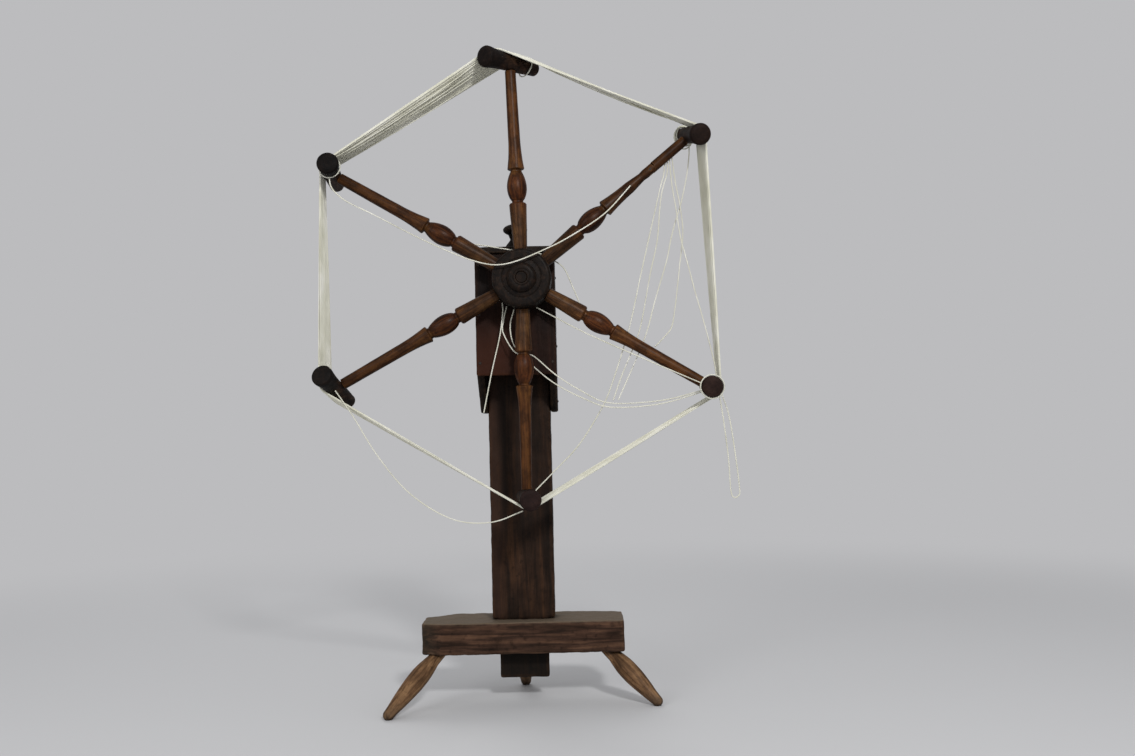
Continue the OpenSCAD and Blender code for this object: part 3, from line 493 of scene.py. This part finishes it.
def bar_axes(arm):
    """A crossbar's middle and the directions along it, out from the axle and across both."""
    angle, reach, twist = ARMS[arm][:3]
    out = arm_direction(angle)
    side = Vector((-out.z, 0, out.x))
    along = Vector((0, math.cos(math.radians(twist)), 0)) + side * math.sin(math.radians(twist))
    return REEL_CENTRE + out * reach * MM, along, out, along.cross(out)


def turns_round_bar(arm, s, turns, lift, lean=0.0, slack=0.0, steps=20):
    """Points of yarn wound round a crossbar from s, lift off its wood, leaning along it and hanging slack."""
    centre, along, out, across = bar_axes(arm)
    path = []
    for k in range(round(turns * steps) + 1):
        a = 2 * math.pi * k / steps
        at = s + YARN_D / MM * 1.1 * k / steps + lean * math.cos(a)
        r = bar_radius(at) + lift
        drop = Vector((0, 0, -slack * (1 - (math.cos(a) * out + math.sin(a) * across).z) / 2))
        path.append(centre + (along * at + r * (math.cos(a) * out + math.sin(a) * across) + drop) * MM)
    return path


def make_bar_turns():
    """The odd turns of yarn that hold or have slipped along the bars."""
    still = [turns_round_bar("lower_right", -47, 2.3, 1.1),
             turns_round_bar("upper_left", -30, 1.2, 1.4, 3),
             turns_round_bar("top", 31, 1.2, 1.2, 5, 2)]
    make_yarn("yarn_bar_turns", still, "reel", TIGHT)
    tail = [turns_round_bar("upper_right", 30, 1.4, 1.6, 7, 2), turns_round_bar("upper_right", 37, 2.2, 1.2, 2),
            turns_round_bar("upper_right", 35, 1.6, 3, 5, 5), turns_round_bar("upper_right", 43, 1.8, 1.3, 2, 3)]
    make_yarn("yarn_tail_turns", tail, "folding_arm", TIGHT)


make_bar_turns()


# Wood. The grain runs along X, turned by these degrees.

GRAIN_UP = (0, 90, 0)
GRAIN_ACROSS = (0, 0, 0)
GRAIN_DEEP = (0, 0, 90)


def multiply(tree, colour, other, share=1.0):
    return add(tree, "ShaderNodeMix", {"Factor": share, "A": colour, "B": other},
               data_type="RGBA", blend_type="MULTIPLY")


def tint(tree, colour, share, other):
    """Mix in another colour by a share."""
    return add(tree, "ShaderNodeMix", {"Factor": share, "A": colour, "B": linear(other)}, data_type="RGBA")


def wood_ground(tree, grain, tones, band, fibre, centre=(0, 0, 0)):
    """Cut wood with its growth bands, fibres and pores, the widths of band and fibre in millimetres. Gives the
    colour, the height of the fibres and the place, measured from centre with the grain on X."""
    place = add(tree, "ShaderNodeTexCoord").outputs["Object"]
    place = add(tree, "ShaderNodeVectorMath", {0: place, 1: centre}, operation="SUBTRACT")
    laid = add(tree, "ShaderNodeMapping", {"Vector": place, "Rotation": [math.radians(a) for a in grain]},
               vector_type="TEXTURE")
    drawn = add(tree, "ShaderNodeMapping", {"Vector": laid, "Scale": (0.06, 1, 1)})
    bands = add(tree, "ShaderNodeTexNoise", {"Vector": drawn, "Scale": 1 / (band * MM), "Detail": 3, "Distortion": 0.8})
    fibres = add(tree, "ShaderNodeTexNoise", {"Vector": drawn, "Scale": 1 / (fibre * MM), "Detail": 6,
                                              "Roughness": 0.65})
    dark, mid, light = tones
    colour = add(tree, "ShaderNodeValToRGB", {"Fac": bands}, [(0.32, dark), (0.5, mid), (0.68, light)])
    streaks = add(tree, "ShaderNodeValToRGB", {"Fac": fibres}, [(0.36, 0.5), (0.6, 1.0)])
    return multiply(tree, colour, streaks, 0.65), fibres, laid


def age(tree, colour, laid, patch, low, high):
    """Old stain and handling: soft patches, patch millimetres across, and small dark marks among them."""
    soft = add(tree, "ShaderNodeTexNoise", {"Vector": laid, "Scale": 1 / (patch * MM), "Detail": 5, "Roughness": 0.6})
    tone = add(tree, "ShaderNodeValToRGB", {"Fac": soft}, [(0.34, low), (0.66, high)])
    colour = multiply(tree, colour, tone)
    marks = add(tree, "ShaderNodeTexNoise", {"Vector": laid, "Scale": 5 / (patch * MM), "Detail": 3})
    tone = add(tree, "ShaderNodeValToRGB", {"Fac": marks}, [(0.3, 0.45), (0.42, 1.0)])
    return multiply(tree, colour, tone, 0.7)


def rub(tree, colour, laid, reach, pale, share=0.7):
    """Corners rubbed paler by use, within reach millimetres of an edge."""
    thin = add(tree, "ShaderNodeAmbientOcclusion", {"Distance": reach * MM}, samples=6, inside=True, only_local=True)
    edge = add(tree, "ShaderNodeValToRGB", {"Fac": thin.outputs["AO"]}, [(0.5, share), (0.9, 0.0)])
    patchy = add(tree, "ShaderNodeTexNoise", {"Vector": laid, "Scale": 1 / (9 * MM), "Detail": 4})
    spread = add(tree, "ShaderNodeValToRGB", {"Fac": patchy}, [(0.35, 0.15), (0.6, 1.0)])
    amount = add(tree, "ShaderNodeMath", {0: edge, 1: spread}, operation="MULTIPLY")
    return tint(tree, colour, amount, pale)


def grime_and_painted_shade(tree, colour, reach, share=0.75, dark="#0c0907"):
    """Dirt in corners and joints, and painted shade: ambient occlusion darkens wherever other surfaces lie within reach
    millimetres, between parts and under them.
    """
    open_air = add(tree, "ShaderNodeAmbientOcclusion", {"Distance": reach * MM}, samples=6)
    amount = add(tree, "ShaderNodeValToRGB", {"Fac": open_air.outputs["AO"]}, [(0.25, share), (0.8, 0.0)])
    return tint(tree, colour, amount, dark)


def between(tree, laid, axis, low, high, start, end):
    """A value that runs from start to end as a place goes from low to high, in millimetres along an axis."""
    along = add(tree, "ShaderNodeSeparateXYZ", {"Vector": laid}).outputs[axis]
    return add(tree, "ShaderNodeMapRange", {"Value": along, "From Min": low * MM, "From Max": high * MM,
                                            "To Min": start, "To Max": end}, interpolation_type="SMOOTHSTEP")


def seal(tree, shader, colour, fibres, rough, coat):
    """Wax or shellac over the fibres, thin and worn."""
    shine = add(tree, "ShaderNodeMapRange", {"Value": fibres, "From Min": 0.3, "From Max": 0.7,
                                             "To Min": rough + 0.1, "To Max": rough - 0.06})
    bump = add(tree, "ShaderNodeBump", {"Strength": 0.35, "Distance": 0.0005, "Height": fibres})
    finish(tree, shader, Base_Color=colour, Roughness=shine, Specular_IOR_Level=0.07, Coat_Weight=coat,
           Coat_Roughness=0.3, Normal=bump)


def object_place(tree):
    return add(tree, "ShaderNodeTexCoord").outputs["Object"]


def bench_plank():
    """Sawn oak, stained red-brown, never planed smooth, and a paler khaki on its upward faces."""
    material, tree, shader = new_material("oak_plank_rubbed")
    colour, fibres, laid = wood_ground(tree, GRAIN_ACROSS, ("#261a13", "#402d23", "#563e2f"), 7, 1.1)
    colour = age(tree, colour, laid, 40, 0.65, 1.2)
    colour = tint(tree, colour, between(tree, laid, "X", -150, -118, 0.7, 0.0), "#1f1f1a")
    up = add(tree, "ShaderNodeSeparateXYZ", {"Vector": add(tree, "ShaderNodeTexCoord").outputs["Normal"]})
    top = add(tree, "ShaderNodeMapRange", {"Value": up.outputs["Z"], "From Min": 0.3, "From Max": 0.8, "To Max": 0.7})
    colour = tint(tree, colour, top, "#6b6052")
    colour = rub(tree, colour, laid, 6, "#745b48", 0.6)
    colour = grime_and_painted_shade(tree, colour, 14)
    seal(tree, shader, colour, fibres, 0.6, 0.0)
    return material


def post_board():
    """Waxed oak board, red-brown low down. Painted shade darkens it from the middle up, under the reel's shadow, and
    its tenon under the bench nearly black; a paler painted lit streak runs down its left."""
    material, tree, shader = new_material("oak_board_waxed")
    colour, fibres, laid = wood_ground(tree, GRAIN_UP, ("#1a110b", "#2d1e15", "#402a1b"), 9, 1.4)
    colour = age(tree, colour, laid, 45, 0.6, 1.3)
    place = object_place(tree)
    # Painted shadow: the post darkens from 200 to 270 mm up, where the reel's shadow falls on it.
    middle = between(tree, place, "Z", 200, 270, 0.0, 0.5)
    colour = tint(tree, colour, middle, "#120c09")
    # Painted light: a paler streak down the post's left, where the reel's shadow leaves it lit.
    left = between(tree, place, "X", -45, -25, 0.55, 0.0)
    colour = tint(tree, colour, left, "#33221a")
    # Painted shade: below 100 to 112 mm, in and under the bench, the post is darkened nearly black as the bench's
    # shadow.
    below = between(tree, place, "Z", 100, 112, 0.8, 0.0)
    colour = tint(tree, colour, below, "#0e0d0b")
    colour = rub(tree, colour, laid, 6, "#5c3f28", 0.55)
    colour = grime_and_painted_shade(tree, colour, 18)
    seal(tree, shader, colour, fibres, 0.5, 0.02)
    return material


def panel_board():
    """Red-stained panel, nearly black, and redder and paler at its lower left as painted light, below the shade of the
    reel's lower left spoke.
    """
    material, tree, shader = new_material("panel_stained_red")
    colour, fibres, laid = wood_ground(tree, GRAIN_UP, ("#0f0907", "#1c110d", "#2b1912"), 10, 1.5)
    colour = age(tree, colour, laid, 40, 0.65, 1.25)
    place = object_place(tree)
    # Painted light: the lower left, clear of the spoke's shade, is lifted to a paler red.
    low = between(tree, place, "Z", 500, 590, 0.75, 0.0)
    left = between(tree, place, "X", -30, 0, 1.0, 0.25)
    share = add(tree, "ShaderNodeMath", {0: low, 1: left}, operation="MULTIPLY")
    colour = tint(tree, colour, share, "#361b10")
    colour = rub(tree, colour, laid, 5, "#4c3222", 0.55)
    colour = grime_and_painted_shade(tree, colour, 20)
    seal(tree, shader, colour, fibres, 0.5, 0.0)
    return material


def box_boards():
    """The box's other boards and its knob, black with age."""
    material, tree, shader = new_material("oak_box_blackened")
    colour, fibres, laid = wood_ground(tree, GRAIN_UP, ("#0b0807", "#140f0c", "#201711"), 9, 1.6)
    colour = age(tree, colour, laid, 45, 0.7, 1.25)
    colour = rub(tree, colour, laid, 6, "#54402e", 0.6)
    seal(tree, shader, colour, fibres, 0.5, 0.02)
    return material


def hub_elm():
    """Turned elm, black-brown with polish and dirt, painted shade in its grooves and joints, and paler rings where
    hands have turned it.
    """
    material, tree, shader = new_material("elm_hub_turned")
    colour, fibres, laid = wood_ground(tree, GRAIN_DEEP, ("#0c0706", "#160f0a", "#231710"), 8, 1.4, AXLE)
    colour = age(tree, colour, laid, 22, 0.7, 1.3)
    colour = rub(tree, colour, laid, 2, "#3a281c", 0.5)
    colour = grime_and_painted_shade(tree, colour, 6)
    seal(tree, shader, colour, fibres, 0.45, 0.02)
    return material


def bare_beech():
    """Unfinished beech inside the box."""
    material, tree, shader = new_material("beech_unfinished")
    colour, fibres, laid = wood_ground(tree, GRAIN_DEEP, ("#6a4a30", "#93704c", "#b08c62"), 12, 1.6)
    colour = age(tree, colour, laid, 30, 0.8, 1.1)
    seal(tree, shader, colour, fibres, 0.65, 0.0)
    return material


def leg_beech(leg, grain):
    """Turned beech leg, its stain worn to tan patches, with a dark foot."""
    material, tree, shader = new_material("beech_leg_" + leg)
    colour, fibres, laid = wood_ground(tree, grain, ("#44301f", "#6c5038", "#8a6a4b"), 6, 1.1)
    colour = age(tree, colour, laid, 14, 0.72, 1.2)
    colour = tint(tree, colour, between(tree, object_place(tree), "Z", 6, 24, 0.5, 0.0), "#453a2f")
    colour = grime_and_painted_shade(tree, colour, 10)
    seal(tree, shader, colour, fibres, 0.58, 0.03)
    return material


def spoke_beech(arm, angle, tone):
    """Shellacked beech, paler orange on the collar and at the flare's start, and redder on the baluster."""
    material, tree, shader = new_material("beech_spoke_" + arm)
    colour, fibres, laid = wood_ground(tree, (0, -angle, 0), ("#2e1d10", "#4b311c", "#674827"), 6, 1.1, REEL_CENTRE)
    run = add(tree, "ShaderNodeSeparateXYZ", {"Vector": laid}).outputs["X"]
    far = add(tree, "ShaderNodeMapRange", {"Value": run, "From Max": 310 * MM})
    zones = add(tree, "ShaderNodeValToRGB", {"Fac": far},
                [(0.14, "#d2cccc"), (0.22, "#ffffff"), (0.32, "#f4e6d8"), (0.35, "#dcb8aa"), (0.46, "#d6b6a8"),
                 (0.485, "#f6e6d4"), (0.62, "#e4d0c0"), (0.95, "#cebaac")])
    colour = multiply(tree, colour, zones)
    # The tone is partly painted shade: it darkens the arms at the left for how the light falls on them.
    colour = multiply(tree, colour, (tone, tone, tone, 1))
    colour = age(tree, colour, laid, 16, 0.62, 1.3)
    colour = rub(tree, colour, laid, 2, "#7a5430", 0.5)
    colour = grime_and_painted_shade(tree, colour, 7)
    seal(tree, shader, colour, fibres, 0.42, 0.04)
    return material


def crossbar_wood(arm, front):
    """Crossbar: brown and polished by yarn over the spoke, with a blackened front end."""
    material, tree, shader = new_material("crossbar_" + arm)
    colour, fibres, laid = wood_ground(tree, GRAIN_DEEP, ("#17100c", "#281b14", "#3c2a1e"), 7, 1.2)
    ahead = between(tree, object_place(tree), "Y", REEL_Y - 34, REEL_Y - 10, 0.85, 0.0)
    colour = tint(tree, colour, ahead, front)
    colour = age(tree, colour, laid, 14, 0.65, 1.3)
    colour = rub(tree, colour, laid, 2, "#4a3426", 0.5)
    seal(tree, shader, colour, fibres, 0.6, 0.0)
    return material


def nail_iron():
    """Wrought iron, dull and brown with old rust."""
    material, tree, shader = new_material("wrought_iron")
    rust = add(tree, "ShaderNodeTexNoise", {"Vector": object_place(tree), "Scale": 400, "Detail": 6})
    colour = add(tree, "ShaderNodeValToRGB", {"Fac": rust}, [(0.35, "#1b1613"), (0.6, "#2e2019")])
    finish(tree, shader, Base_Color=colour, Metallic=0.5, Roughness=0.65)
    return material


# Turned pieces. A profile is a list of radius and place along the axis, in millimetres.

SPOKE_ROOT_R, COLLAR_R, NECK_R, BALUSTER_R, FLARE_R, SHANK_R, TIP_R = 9.5, 12.25, 8, 14, 12, 8.5, 7.6
HUB_R, HUB_FRONT, HUB_DEPTH, HUB_BORE, BOSS_R, BOSS_RISE = 41, -109, 56, 8.1, 20, 6
TENON_R, TENON_LENGTH, TIP_TENON_R, TIP_TENON_LENGTH = 8, 20, 5, 16
NECK_GAP, BALUSTER_LENGTH, FLARE_LENGTH = 3.5, 41, 45
BENCH_UNDER, FOOT_HEIGHT, FOOT_R, LEG_TOP_R, LEG_SWELL_R = 72.5, 6.4, 8, 10, 14
RING_STEP = 4


def turning_tree():
    """Turns a profile round its axis, with its corners worn round and the wood a little out of true."""
    tree, given = new_tree("turned_on_a_lathe", Worn_corner="Float", Out_of_true="Float", Sides="Int", Seed="Int",
                           Wood="Material")
    spindle = 1 * MM
    line = add(tree, "GeometryNodeMeshToCurve", {"Mesh": given["Geometry"]})
    line = add(tree, "GeometryNodeFilletCurve", {"Curve": line, "Count": 3, "Radius": given["Worn corner"],
                                                 "Limit Radius": True}, mode="POLY")
    line = add(tree, "GeometryNodeSetPosition", {"Geometry": line, "Offset": (-spindle, 0, 0)})
    ring = add(tree, "GeometryNodeCurvePrimitiveCircle", {"Resolution": given["Sides"], "Radius": spindle})
    ring = add(tree, "GeometryNodeSetCurveNormal", {"Curve": ring}, mode="Z_UP")
    mesh = add(tree, "GeometryNodeCurveToMesh", {"Curve": ring, "Profile Curve": line})
    mesh = add(tree, "GeometryNodeMergeByDistance", {"Geometry": mesh, "Distance": 0.001 * MM})
    here = add(tree, "GeometryNodeInputPosition")
    lumps = add(tree, "ShaderNodeTexNoise", {"Vector": here, "W": given["Seed"], "Scale": 45, "Detail": 3},
                noise_dimensions="4D")
    rise = add(tree, "ShaderNodeMapRange", {"Value": lumps, "From Min": 0.25, "From Max": 0.75,
                                            "To Min": -1, "To Max": 0.3})
    rise = add(tree, "ShaderNodeMath", {0: rise, 1: given["Out of true"]}, operation="MULTIPLY")
    normal = add(tree, "GeometryNodeInputNormal").outputs["Normal"]
    shift = add(tree, "ShaderNodeVectorMath", {0: normal, "Scale": rise}, operation="SCALE")
    mesh = add(tree, "GeometryNodeSetPosition", {"Geometry": mesh, "Offset": shift})
    mesh = add(tree, "GeometryNodeSetShadeSmooth", {"Geometry": mesh})
    mesh = add(tree, "GeometryNodeRealizeInstances", {"Geometry": mesh})
    mesh = add(tree, "GeometryNodeSetMaterial", {"Geometry": mesh, "Material": given["Wood"]})
    add(tree, "NodeGroupOutput", {"Geometry": mesh})
    return tree


TURNING_TREE = turning_tree()


def stand_for(piece, node):
    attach(piece, BODY_OF[node])
    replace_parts(piece, node)


turned = []


def turn(node, profile, start, direction, material, worn=0.6, out_of_true=0.25, sides=56, closed=False):
    """Turn a node's profile, which starts at a place in metres and runs along a direction."""
    points = [profile[0]]
    for (r0, z0), (r1, z1) in zip(profile, profile[1:]):
        parts = max(1, round(math.hypot(r1 - r0, z1 - z0) / RING_STEP))
        points += [(r0 + (r1 - r0) * k / parts, z0 + (z1 - z0) * k / parts) for k in range(1, parts + 1)]
    path = [Vector((r, z, 0)) * MM for r, z in points]
    sizes = {"Worn corner": worn * MM, "Out of true": out_of_true * MM, "Sides": sides, "Seed": len(turned),
             "Wood": material}
    piece = make_along(node + "_turned", [path], TURNING_TREE, sizes, closed)
    lie = Vector(direction).to_track_quat("-Z", "Y").to_matrix().to_4x4()
    piece.data.transform(Matrix.Translation(start) @ lie)
    stand_for(piece, node)
    turned.append(node)
    return piece


def spoke_profile(collar_end, seat):
    baluster = collar_end + NECK_GAP
    flare = baluster + BALUSTER_LENGTH + 3
    bulge = [(NECK_R + (BALUSTER_R - NECK_R) * math.sin(math.pi * (k / 24) ** 0.88) ** 0.8,
              baluster + BALUSTER_LENGTH * k / 24) for k in range(1, 24)]
    fall = [(SHANK_R + (FLARE_R - SHANK_R) * (1 - k / 12) ** 2, flare + 1 + FLARE_LENGTH * k / 12) for k in range(13)]
    return [(0, HUB_R - TENON_LENGTH), (TENON_R, HUB_R - TENON_LENGTH), (TENON_R, HUB_R + 0.1),
            (SPOKE_ROOT_R, HUB_R + 0.1), (COLLAR_R, collar_end - 2), (COLLAR_R - 1.2, collar_end),
            (NECK_R, collar_end + 1), (NECK_R, baluster), *bulge, (NECK_R, baluster + BALUSTER_LENGTH),
            (NECK_R, flare - 1), (FLARE_R - 1, flare), *fall, (TIP_R, seat), (TIP_TENON_R, seat),
            (TIP_TENON_R, seat + TIP_TENON_LENGTH), (0, seat + TIP_TENON_LENGTH)]


def crossbar_profile():
    waist = [(bar_radius(s), s) for s in range(-BAR_FLARE, BAR_FLARE + 1, 4)]
    return [(0, -BAR_HALF), (BAR_FRONT_R * 0.62, -BAR_HALF), (BAR_FRONT_R * 0.9, 1.4 - BAR_HALF),
            (BAR_FRONT_R, 4 - BAR_HALF), *waist, (BAR_TAIL_R, BAR_HALF - 3), (BAR_TAIL_R * 0.85, BAR_HALF - 0.8),
            (BAR_TAIL_R * 0.6, BAR_HALF), (0, BAR_HALF)]


def hub_profile():
    """The front has a boss with a groove and a bead, and a groove round the boss."""
    b, rise, soft = BOSS_R, BOSS_RISE, 5
    front = [(HUB_R - soft + soft * math.sin(a), soft - soft * math.cos(a))
             for a in (math.pi / 2 * k / 6 for k in range(7))]
    back = [(HUB_R - soft + soft * math.cos(a), HUB_DEPTH - soft + soft * math.sin(a))
            for a in (math.pi / 2 * k / 6 for k in range(7))]
    return [(HUB_BORE, -rise), (HUB_BORE + 2.5, -rise), (HUB_BORE + 3.2, 0.8 - rise), (HUB_BORE + 4, -rise),
            (b - 5, -rise), (b - 3, 0.6 - rise), (b, 2.5 - rise), (b, -1), (b + 1, 0), (b + 6, 0), (b + 7, 1),
            (b + 8, 0), *front, *back, (HUB_BORE, HUB_DEPTH)]


def leg_profile(run, exposed, tenon):
    """A tenon, a swelling over two fifths of the leg, a taper, and a round foot."""
    bare = run / BENCH_UNDER * LEG_TOP_R + 1
    swell_end = exposed * 0.42
    quarter = [math.pi / 2 * k / 14 for k in range(1, 15)]
    swell = [(LEG_TOP_R + (LEG_SWELL_R - LEG_TOP_R) * math.sin(a), bare + (swell_end - bare) * a / (math.pi / 2))
             for a in quarter]
    taper = [(FOOT_R + (LEG_SWELL_R - FOOT_R) * math.cos(a) ** 1.3,
              swell_end + (exposed - swell_end) * a / (math.pi / 2)) for a in quarter]
    foot = [(FOOT_R * math.cos(a), exposed + FOOT_R * math.sin(a)) for a in quarter]
    foot[-1] = (0, exposed + FOOT_R)
    return [(0, -tenon), (LEG_TOP_R - 1, -tenon), (LEG_TOP_R, 1 - tenon), (LEG_TOP_R, bare), *swell, *taper, *foot]


def finial_profile():
    """A knob: tenon, foot, hollow neck and a flattened bun."""
    r, neck_r, foot_r, board, neck_z, bun_z, bun_h = 18, 7.56, 15.3, 10, 18, 32, 8.5
    hollow = [(neck_r + (foot_r - neck_r) * math.cos(math.pi / 2 * k / 12) ** 1.4, 4 + (neck_z - 4) * k / 12)
              for k in range(1, 13)]
    bun = [(r * math.cos(a), bun_z + bun_h * math.sin(a))
           for a in (math.radians(-62 + 152 * k / 20) for k in range(1, 20))]
    return [(0, -board), (6, -board), (6, 0), (foot_r, 0), (foot_r, 4), *hollow, *bun, (0, bun_z + bun_h)]


# Each crossbar's front end.
FRONTS = {"lower_right": "#271a17", "upper_right": "#1a110e", "top": "#0e0a09", "upper_left": "#080809",
          "lower_left": "#0f0e0d", "bottom": "#1f1413"}


def make_arms():
    for arm, (angle, reach, _, collar_end, tone) in ARMS.items():
        wood = spoke_beech(arm, angle, tone)
        if arm == "upper_right":
            paint(wood, "folding_arm_inner", "folding_arm_outer")
        else:
            seat = reach - bar_radius(-TIP_R) - 0.1
            turn(arm + "_spoke", spoke_profile(collar_end, seat), REEL_CENTRE, arm_direction(angle), wood)
        centre, along, _, _ = bar_axes(arm)
        turn(arm + "_crossbar", crossbar_profile(), centre, along,
             crossbar_wood(arm, FRONTS[arm]), worn=1.2, out_of_true=0.5)


# Legs: where the socket's middle meets the bench's underside, the foot's place and the tenon's length.
LEGS = {
    "left_leg": ((-130, 11.5), (-191, -76.5), 36),
    "right_leg": ((118, 11.5), (184, -30.5), 36),
    "rear_leg": ((-8, 64.5), (-8, 124.5), 20),
}


def make_legs():
    for leg, ((x0, y0), (x1, y1), tenon) in LEGS.items():
        start = Vector((x0, y0, BENCH_UNDER))
        lean = Vector((x1, y1, FOOT_HEIGHT)) - start
        run = math.hypot(lean.x, lean.y)
        grain = (0, math.degrees(math.atan2(-lean.z, run)), math.degrees(math.atan2(lean.y, lean.x)))
        piece = turn(leg, leg_profile(run, lean.length, tenon), start * MM, lean, leg_beech(leg, grain),
                     out_of_true=0.5)
        for vertex in piece.data.vertices:
            vertex.co.z = max(vertex.co.z, 0)


# Boards


def merged_copy(node, name):
    """A node's mesh as one closed skin in a new piece."""
    shape = bmesh.new()
    shape.from_mesh(nodes[node].data)
    bmesh.ops.remove_doubles(shape, verts=shape.verts, dist=0.01 * MM)
    mesh = bpy.data.meshes.new(name)
    shape.to_mesh(mesh)
    shape.free()
    own_normals = mesh.attributes.get("custom_normal")
    if own_normals:
        mesh.attributes.remove(own_normals)
    mesh.materials.clear()
    return new_piece(name, mesh)


def board(node, material, grid=2.0, rubbing=5, unevenness=0.35, reach=24):
    """A hand-planed board: its edges rubbed round, its faces uneven by parts of a millimetre."""
    piece = merged_copy(node, node + "_worn")
    even = piece.modifiers.new("even grid", "REMESH")
    even.mode = "VOXEL"
    even.voxel_size = grid * MM
    rubbed = piece.modifiers.new("rubbed edges", "SMOOTH")
    rubbed.factor = 0.5
    rubbed.iterations = rubbing
    make_plain(piece)
    skin = piece.data.vertices
    normals = [vertex.normal.copy() for vertex in skin]
    for vertex, normal in zip(skin, normals):
        wave = noise.fractal(vertex.co / (reach * MM), 0.8, 2.0, 4)
        vertex.co += normal * min(wave - 0.3, 0.2) * unevenness * MM
    piece.data.shade_smooth()
    piece.data.materials.append(material)
    stand_for(piece, node)


def smoothed(node, material):
    """A carved piece as the frame has it, shaded smooth between its sharp edges."""
    piece = merged_copy(node, node + "_smoothed")
    piece.data.shade_smooth()
    piece.data.set_sharp_from_angle(angle=math.radians(35))
    piece.data.materials.append(material)
    stand_for(piece, node)


def paint(material, *names):
    for name in names:
        smoothed(name, material)


make_arms()
make_legs()
turn("hub", hub_profile(), AXLE + Vector((0, HUB_FRONT, 0)) * MM, (0, 1, 0), hub_elm(), sides=96, closed=True)
low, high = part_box("finial")
dark_boards = box_boards()
turn("finial", finial_profile(), Vector(((low.x + high.x) / 2, (low.y + high.y) / 2, low.z + 10 * MM)), (0, 0, 1),
     dark_boards)
board("bench", bench_plank(), rubbing=6, unevenness=0.8)
board("post", post_board(), unevenness=0.5)
board("front_panel", panel_board(), grid=1.6)
for node in ("left_cheek", "right_cheek", "back_board", "top_board"):
    board(node, dark_boards)
paint(bpy.data.materials["elm_hub_turned"], "axle")
paint(bare_beech(), "retaining_peg", "worm", "counting_wheel", "wheel_arbor", "trip_peg", "click_strip", "strip_block")
paint(nail_iron(), "box_nails", "strip_tacks", "knuckle_pin")


# Studio

BACKDROP = "#bcbcbe"
FLOOR_TONE = "#c4c4c5"
FLOOR_CLEAR, FLOOR_FADED = 0.9, 2.5


def make_floor():
    """A pale floor whose far part turns into the backdrop's colour, so that no horizon shows."""
    w = 12
    mesh = bpy.data.meshes.new("floor")
    mesh.from_pydata([(-w, -w, 0), (w, -w, 0), (w, w, 0), (-w, w, 0)], [], [(0, 1, 2, 3)])
    material, tree, shader = new_material("pale_floor")
    finish(tree, shader, Base_Color=linear(FLOOR_TONE), Roughness=0.9, Specular_IOR_Level=0.2)
    away = add(tree, "ShaderNodeVectorMath", {0: object_place(tree)}, operation="LENGTH").outputs["Value"]
    far = add(tree, "ShaderNodeMapRange", {"Value": away, "From Min": FLOOR_CLEAR, "From Max": FLOOR_FADED},
              interpolation_type="SMOOTHERSTEP")
    seen = add(tree, "ShaderNodeLightPath").outputs["Is Camera Ray"]
    share = add(tree, "ShaderNodeMath", {0: far, 1: seen}, operation="MULTIPLY")
    glow = add(tree, "ShaderNodeEmission", {"Color": linear(BACKDROP)})
    mixed = add(tree, "ShaderNodeMixShader", {0: share, 1: shader, 2: glow})
    feed(tree, tree.nodes["Material Output"].inputs["Surface"], mixed)
    mesh.materials.append(material)
    new_piece("floor", mesh)


def make_light(name, place, aim, size, watts, shines=True):
    """A round soft lamp. One that doesn't shine gives light but no gloss."""
    data = bpy.data.lights.new(name, "AREA")
    data.shape = "DISK"
    data.size = size
    data.energy = watts
    lamp = bpy.data.objects.new(name, data)
    lamp.location = place
    lamp.visible_glossy = shines
    lamp.rotation_mode = "QUATERNION"
    lamp.rotation_quaternion = (Vector(aim) - Vector(place)).to_track_quat("-Z", "Y")
    bpy.context.scene.collection.objects.link(lamp)


def make_world():
    """Soft even light all round. Camera, mirror and glass rays see the backdrop's colour."""
    world = bpy.data.worlds.new("studio")
    bpy.context.scene.world = world
    world.use_nodes = True
    tree = world.node_tree
    ray = add(tree, "ShaderNodeLightPath").outputs
    seen = add(tree, "ShaderNodeMath", {0: ray["Is Camera Ray"], 1: ray["Is Glossy Ray"]}, operation="MAXIMUM")
    seen = add(tree, "ShaderNodeMath", {0: seen, 1: ray["Is Transmission Ray"]}, operation="MAXIMUM")
    colour = add(tree, "ShaderNodeMix", {"Factor": seen, "A": linear("#f6f7fa"), "B": linear(BACKDROP)},
                 data_type="RGBA")
    strength = add(tree, "ShaderNodeMapRange", {"Value": seen, "To Min": 0.5, "To Max": 1.0})
    background = tree.nodes["Background"]
    feed(tree, background.inputs["Color"], colour)
    feed(tree, background.inputs["Strength"], strength)


make_floor()
make_light("key", (0.75, -2.5, 1.75), (0, 0, 0.5), 0.35, 48)
make_light("fill", (-1.7, -2.1, 1.3), (0, 0, 0.5), 1.4, 18)
make_light("back", (-0.6, 2.2, 2.2), (0, 0, 0.6), 1.6, 20, shines=False)
make_world()
bpy.context.scene.view_settings.view_transform = "Standard"
